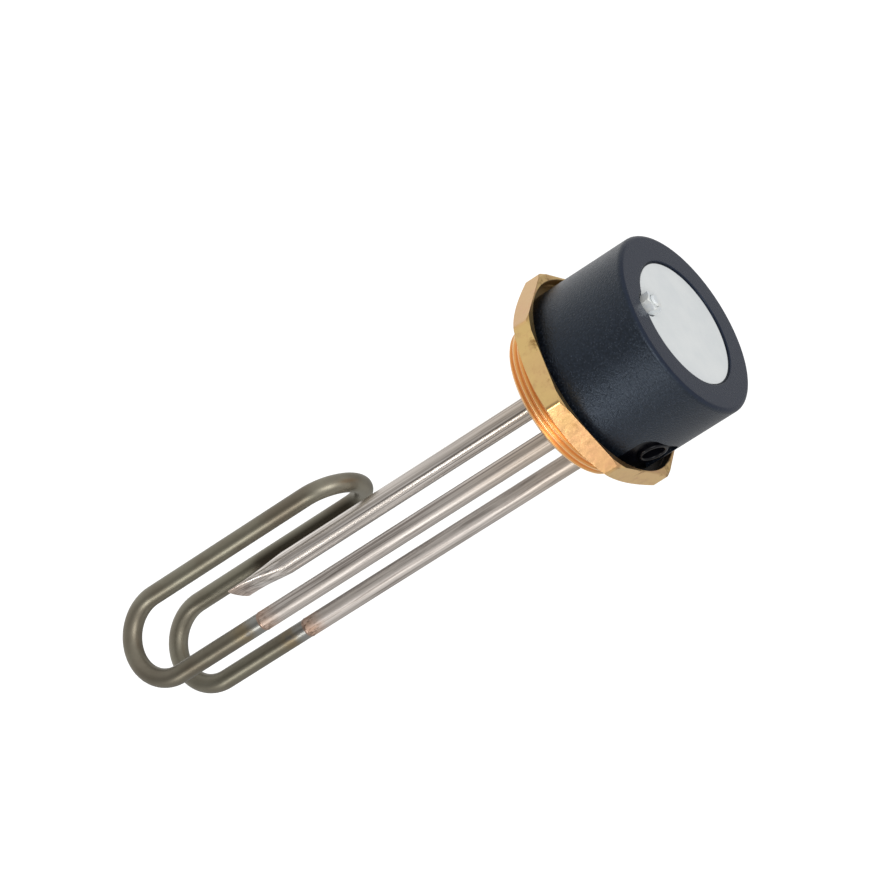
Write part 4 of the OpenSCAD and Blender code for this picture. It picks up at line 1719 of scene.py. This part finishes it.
    def screws(self) -> None:
        """Makes the two terminal screws, and the earth screw with its washer."""
        x, y = SCREW
        near = Workpiece.screw("terminal_screw", *self.screw_head, self.screw_thread, self.screw_l, SLOT,
                               (x, -y), self.deck_z + self.sheet_t)
        far = near.copy("far_screw", (0, 2 * y, 0))
        self.dress(Workpiece.gather([near, far]), "terminal_brass", "terminal_screws")
        seat_z = DISH_Z + self.sheet_t
        bolt = Workpiece.screw("earth_bolt", *self.earth_head, self.pin_thread, self.earth_l, SLOT,
                               EARTH, seat_z)
        self.dress(bolt, "terminal_brass", "earth_screw")
        ring = Workpiece.washer("earth_ring", self.earth_washer_r, self.pin_thread.crest_r + self.bore_fit,
                                DISH_Z, seat_z, EARTH)
        self.dress(ring, "zinc_steel", "earth_washer")

    def build(self) -> None:
        """Makes the terminals' pieces."""
        self.pins()
        self.stacks()
        self.straps()
        self.screws()


@dataclass
class Thermostat(Assembly):
    """The rod thermostat with its dial and reset button."""

    base_low: tuple[float, float, float] = (-24.0, -14.0, 0.0)
    base_high: tuple[float, float, float] = (10.0, 14.0, 12.0)
    base_edge: float = 0.35
    cover_low: tuple[float, float, float] = (-23.4, -13.4, 12.0)
    cover_high: tuple[float, float, float] = (-1.6, 13.4, 24.0)
    cover_edge: float = 0.4
    sharp: float = 50.0
    corner_r: float = 2.5
    corner_steps: int = 6
    barrier_x: float = -1.0
    barrier_t: float = 1.8
    barrier_z: float = 18.0
    screw_bore_r: float = 1.8
    screw_foot_z: float = 4.8
    stem_r: float = 3.5
    stem_l: float = 151.0
    axis_r: float = 0.6
    stem_edge: float = 0.3
    groove_depth: float = 0.35
    groove: tuple[float, float, float, float] = (-8.0, -7.4, -6.0, -5.4)
    dial: Point = (-12.5, 5.4)
    dial_r: float = 4.8
    dial_low_z: float = 24.3
    dial_high_z: float = 26.7
    shaft_r: float = 2.0
    shaft_foot_z: float = 17.3
    shaft_gap: float = 0.6
    flutes: int = 20
    flute_r: float = 0.5
    flute_out: float = 0.25
    ticks: int = 11
    tick_gap: float = 0.5
    tick_l: Point = (1.0, 1.6)
    tick_half: float = 0.2
    tick_root: float = 0.3
    sweep: float = 270.0
    button: Point = (-12.5, -7.6)
    button_r: float = 2.2
    button_top_z: float = 25.8
    button_edge: float = 0.6
    core_r: float = 0.8
    hollow_r: float = 1.3
    hollow_core_r: float = 0.5
    hollow_depth: float = 0.25
    collar_r: float = 3.0
    collar_z: float = 17.6
    collar_t: float = 1.0
    chamber_r: float = 3.4
    chamber_z: float = 19.0
    fit: float = 0.06

    def case(self, name: str, low: Sequence[float], high: Sequence[float]) -> Workpiece:
        """Makes a block with rounded upright corners.

        Args:
            name: The piece's name.
            low: The lowest corner.
            high: The highest corner.

        Returns:
            The case.
        """
        edges = [lambda co, x=x, y=y: abs(co.x - x) < WELD and abs(co.y - y) < WELD
                 for x in (low[0], high[0]) for y in (low[1], high[1])]
        return Workpiece.block(name, low, high).round_edges(edges, self.corner_r, self.corner_steps)

    def base(self) -> None:
        """Moulds the base with its barrier and bores it for the terminal screws."""
        base = self.case("stat_base", self.base_low, self.base_high)
        half, deck_z = self.barrier_t / 2, self.base_high[2]
        barrier = Workpiece.block("barrier", (self.barrier_x, -half, deck_z - PAST),
                                  (self.base_high[0], half, self.barrier_z))
        base.work(barrier, Operation.JOIN)
        for side in SIDES:
            place = (SCREW[0], side * SCREW[1])
            drill = Workpiece.prism("drill", 40, self.screw_bore_r, self.screw_foot_z, deck_z + PAST, place)
            base.work(drill, Operation.CUT)
        base.bevel(self.base_edge, limit=self.sharp)
        self.dress(base, "base_moulding", "thermostat_base")

    def stem(self) -> None:
        """Turns the round-ended stem with the groove that it is held by."""
        stem_r, neck_r, edge = self.stem_r, self.stem_r - self.groove_depth, self.stem_edge
        end_z, (low, foot, top, high) = -self.stem_l, self.groove
        stem = Workpiece.turned("stem_rod", soften([
            (self.axis_r, end_z, 0), (stem_r, end_z, stem_r / 2), (stem_r, low, edge),
            (neck_r, foot, edge), (neck_r, top, edge), (stem_r, high, edge), (stem_r, 0, 0)], 6),
            48, POCKET)
        self.dress(stem, "stem_metal", "thermostat_stem")

    def cover(self) -> None:
        """Moulds the cover with a scale round the dial and bores it for shaft and button."""
        foot, top = self.cover_low[2] - PAST, self.cover_high[2]
        cover = self.case("stat_cover", self.cover_low, self.cover_high)
        shaft_z = self.shaft_foot_z - self.shaft_gap
        for name, sides, radius, low, high, place in (
                ("shaft", 40, self.shaft_r + self.fit, shaft_z, top + PAST, self.dial),
                ("guide", 40, self.button_r + self.fit, foot, top + PAST, self.button),
                ("chamber", 48, self.chamber_r, foot, self.chamber_z, self.button)):
            cover.work(Workpiece.prism(name, sides, radius, low, high, place), Operation.CUT)
        cover.bevel(self.cover_edge, limit=self.sharp)
        last = self.ticks - 1
        short, long = self.tick_l
        start = self.dial_r + self.tick_gap
        for k in range(self.ticks):
            end = start + (long if k in (0, self.ticks // 2, last) else short)
            tick = Workpiece.block("tick", (-self.tick_half, start, top - self.tick_root),
                                   (self.tick_half, end, top + self.tick_half))
            turn = self.sweep * (k / last - 0.5)
            cover.work(tick.move((*self.dial, 0), (0, 0, turn)), Operation.JOIN)
        self.dress(cover, "cover_moulding", "thermostat_cover")

    def knob(self) -> None:
        """Turns the dial on its shaft and cuts its flutes, driver slot and pointer notch."""
        foot, top, dial_r = self.dial_low_z, self.dial_high_z, self.dial_r
        width, depth = SLOT
        knob = Workpiece.turned("dial_knob", soften([
            (self.axis_r, self.shaft_foot_z, 0), (self.shaft_r, self.shaft_foot_z, 0.3),
            (self.shaft_r, foot, 0), (dial_r, foot, 0.3), (dial_r, top, 0.5), (self.axis_r, top, 0)], 4),
            steps=80)
        reach = dial_r + self.flute_out
        for k in range(1, self.flutes):
            angle = math.pi / 2 + 2 * math.pi * k / self.flutes
            place = (math.cos(angle) * reach, math.sin(angle) * reach)
            flute = Workpiece.prism("flute", 16, self.flute_r, foot - PAST, top + PAST, place)
            knob.work(flute, Operation.CUT)
        knob.work(Workpiece.block("slot", (-width / 2, -dial_r / 2, top - depth),
                                  (width / 2, dial_r / 2, top + PAST)), Operation.CUT)
        knob.work(Workpiece.block("pointer", (-width / 2, dial_r - width, foot - PAST),
                                  (width / 2, dial_r + width, top + PAST)), Operation.CUT)
        self.dress(knob.move((*self.dial, 0)), "dial_moulding", "temperature_dial", Body.DIAL)

    def plunger(self) -> None:
        """Turns the dished reset button with the collar that keeps it in its chamber."""
        foot, step, top = self.collar_z, self.collar_z + self.collar_t, self.button_top_z
        cap = Workpiece.turned("button_cap", soften([
            (self.core_r, foot, 0), (self.collar_r, foot, 0.2), (self.collar_r, step, 0.2),
            (self.button_r, step, 0.1), (self.button_r, top, self.button_edge), (self.hollow_r, top, 0.2),
            (self.hollow_core_r, top - self.hollow_depth, 0)], 5), 56, self.button)
        self.dress(cap, "dial_moulding", "reset_button", Body.BUTTON)

    def build(self) -> None:
        """Makes the thermostat's pieces."""
        self.base()
        self.stem()
        self.cover()
        self.knob()
        self.plunger()


@dataclass(frozen=True)
class Lamp:
    """A soft lamp: its angles to the right of the camera and above the level, its width and its watts."""

    name: str
    across: float
    rise: float
    size: float
    power: float


@dataclass(frozen=True)
class Patch:
    """A lighter or darker part of the room, in the direction right, towards and above the camera."""

    right: float
    towards: float
    above: float
    start: float
    full: float
    weight: float


@dataclass
class Studio:
    """The floor, the room's light and the camera at the photograph's view."""

    azimuth: float = 23.646
    elevation: float = 26.726
    roll: float = 57.26
    distance: float = 1.803125
    aim_z: float = -0.065076
    aim_across: float = -0.009853
    focal_px: float = 4597.5
    image_px: float = 892.0
    sensor: float = 36.0
    clip_end: float = 100.0
    floor_z: float = -1.0
    floor_size: float = 40.0
    floor_tone: float = 0.92
    glow: float = 0.40
    room_light: float = 0.78
    seen_light: float = 2.0
    lamp_reach: float = 1.2
    lamps: tuple[Lamp, ...] = (
        Lamp("key_lamp", 27.0, -26.6, 0.30, 3.7),
        Lamp("fill_lamp", 15.0, 35.0, 0.50, 5.0))
    patches: tuple[Patch, ...] = (
        Patch(-0.5, -1.0, -0.6, 0.30, 0.95, 0.20),
        Patch(0.0, -1.0, 0.5, 0.50, 0.95, -0.28),
        Patch(0.0, 0.3, 1.0, 0.50, 0.95, 0.10),
        Patch(-1.0, 0.0, -0.3, 0.40, 0.95, 0.08),
        Patch(0.34, -0.94, -0.5, 0.75, 0.99, -0.36),
        Patch(-0.10, 1.0, -0.50, 0.68, 0.99, -0.40))

    @staticmethod
    def direction(azimuth: float, elevation: float) -> Vector:
        """Gives the direction from the part to a place at two angles in degrees."""
        a, e = math.radians(azimuth), math.radians(elevation)
        return Vector((math.sin(a) * math.cos(e), -math.cos(a) * math.cos(e), math.sin(e)))

    def axes(self) -> tuple[Vector, Vector, Vector]:
        """Gives the unrolled camera's directions.

        Returns:
            The directions to the right, up and back.
        """
        a = math.radians(self.azimuth)
        back = self.direction(self.azimuth, self.elevation)
        right = Vector((math.cos(a), math.sin(a), 0))
        return right, back.cross(right), back

    def camera(self) -> None:
        """Sets up the long lens, rolled as the photograph is."""
        right, up, back = self.axes()
        roll = math.radians(self.roll)
        side = right * math.cos(roll) + up * math.sin(roll)
        top = up * math.cos(roll) - right * math.sin(roll)
        place = Vector((0, 0, self.aim_z)) + right * self.aim_across + back * self.distance
        lens = bpy.data.cameras.new("photo_camera")
        lens.sensor_width = self.sensor
        lens.lens = self.focal_px / self.image_px * self.sensor
        lens.clip_end = self.clip_end
        eye = bpy.data.objects.new("photo_camera", lens)
        bpy.context.scene.collection.objects.link(eye)
        eye.matrix_world = Matrix((
            (side.x, top.x, back.x, place.x), (side.y, top.y, back.y, place.y),
            (side.z, top.z, back.z, place.z), (0, 0, 0, 1)))
        bpy.context.scene.camera = eye

    def floor(self) -> None:
        """Lays the pale floor far below the part."""
        Workpiece.clear()
        bpy.ops.mesh.primitive_plane_add(size=self.floor_size, location=(0, 0, self.floor_z))
        floor = bpy.context.object
        floor.name = "studio_floor"
        pale = bpy.data.materials.new("floor_pale")
        pale.use_nodes = True
        tone = self.floor_tone
        NodeSheet(pale.node_tree).surface({
            "Base Color": (tone, tone, tone, 1), "Roughness": 0.9,
            "Emission Color": (1, 1, 1, 1), "Emission Strength": self.glow})
        floor.data.materials.append(pale)
        floor.visible_glossy = False

    def room(self) -> None:
        """Paints the soft studio light on the room round the part."""
        right, _, back = self.axes()
        level = Vector((back.x, back.y, 0)).normalized()
        up = Vector((0, 0, 1))
        world = bpy.data.worlds.new("studio_room")
        bpy.context.scene.world = world
        world.use_nodes = True
        sheet = NodeSheet(world.node_tree)
        way = sheet.add("ShaderNodeTexCoord").out("Generated")
        light = self.room_light
        for patch in self.patches:
            aim = (right * patch.right + level * patch.towards + up * patch.above).normalized()
            facing = sheet.add("ShaderNodeVectorMath", {"operation": "DOT_PRODUCT"}, {0: way, 1: tuple(aim)})
            light = light + facing.out("Value").step(patch.start, patch.full) * patch.weight
        seen = sheet.add("ShaderNodeLightPath").out("Is Camera Ray")
        glow = sheet.add("ShaderNodeBackground", None, {
            "Color": (1, 1, 1, 1), "Strength": light + seen * self.seen_light})
        sheet.add("ShaderNodeOutputWorld", None, {"Surface": glow.out(0)})

    def hang(self, lamp: Lamp) -> None:
        """Hangs one soft lamp on the camera's side, aimed at the part.

        Args:
            lamp: The lamp.
        """
        way = self.direction(self.azimuth + lamp.across, lamp.rise)
        light = bpy.data.lights.new(lamp.name, "AREA")
        light.size = lamp.size
        light.energy = lamp.power
        obj = bpy.data.objects.new(lamp.name, light)
        bpy.context.scene.collection.objects.link(obj)
        obj.location = Vector((0, 0, self.aim_z)) + way * self.lamp_reach
        obj.rotation_euler = (-way).to_track_quat("-Z", "Y").to_euler()
        obj.visible_camera = False

    def build(self) -> None:
        """Sets up the studio."""
        bpy.context.scene.view_settings.view_transform = "Standard"
        self.camera()
        self.floor()
        self.room()
        for lamp in self.lamps:
            self.hang(lamp)


def main() -> None:
    """Builds the heater piece by piece and the studio round it."""
    logging.basicConfig(level=logging.INFO, format="%(name)s: %(message)s")
    wardrobe = Wardrobe()
    for kind in (BrassHead, Element, Pocket, Cap, CableEntry, Terminals, Thermostat):
        kind(wardrobe).build()
        LOG.info("%s done", kind.__name__)
    Studio().build()


if __name__ == "__main__":
    main()
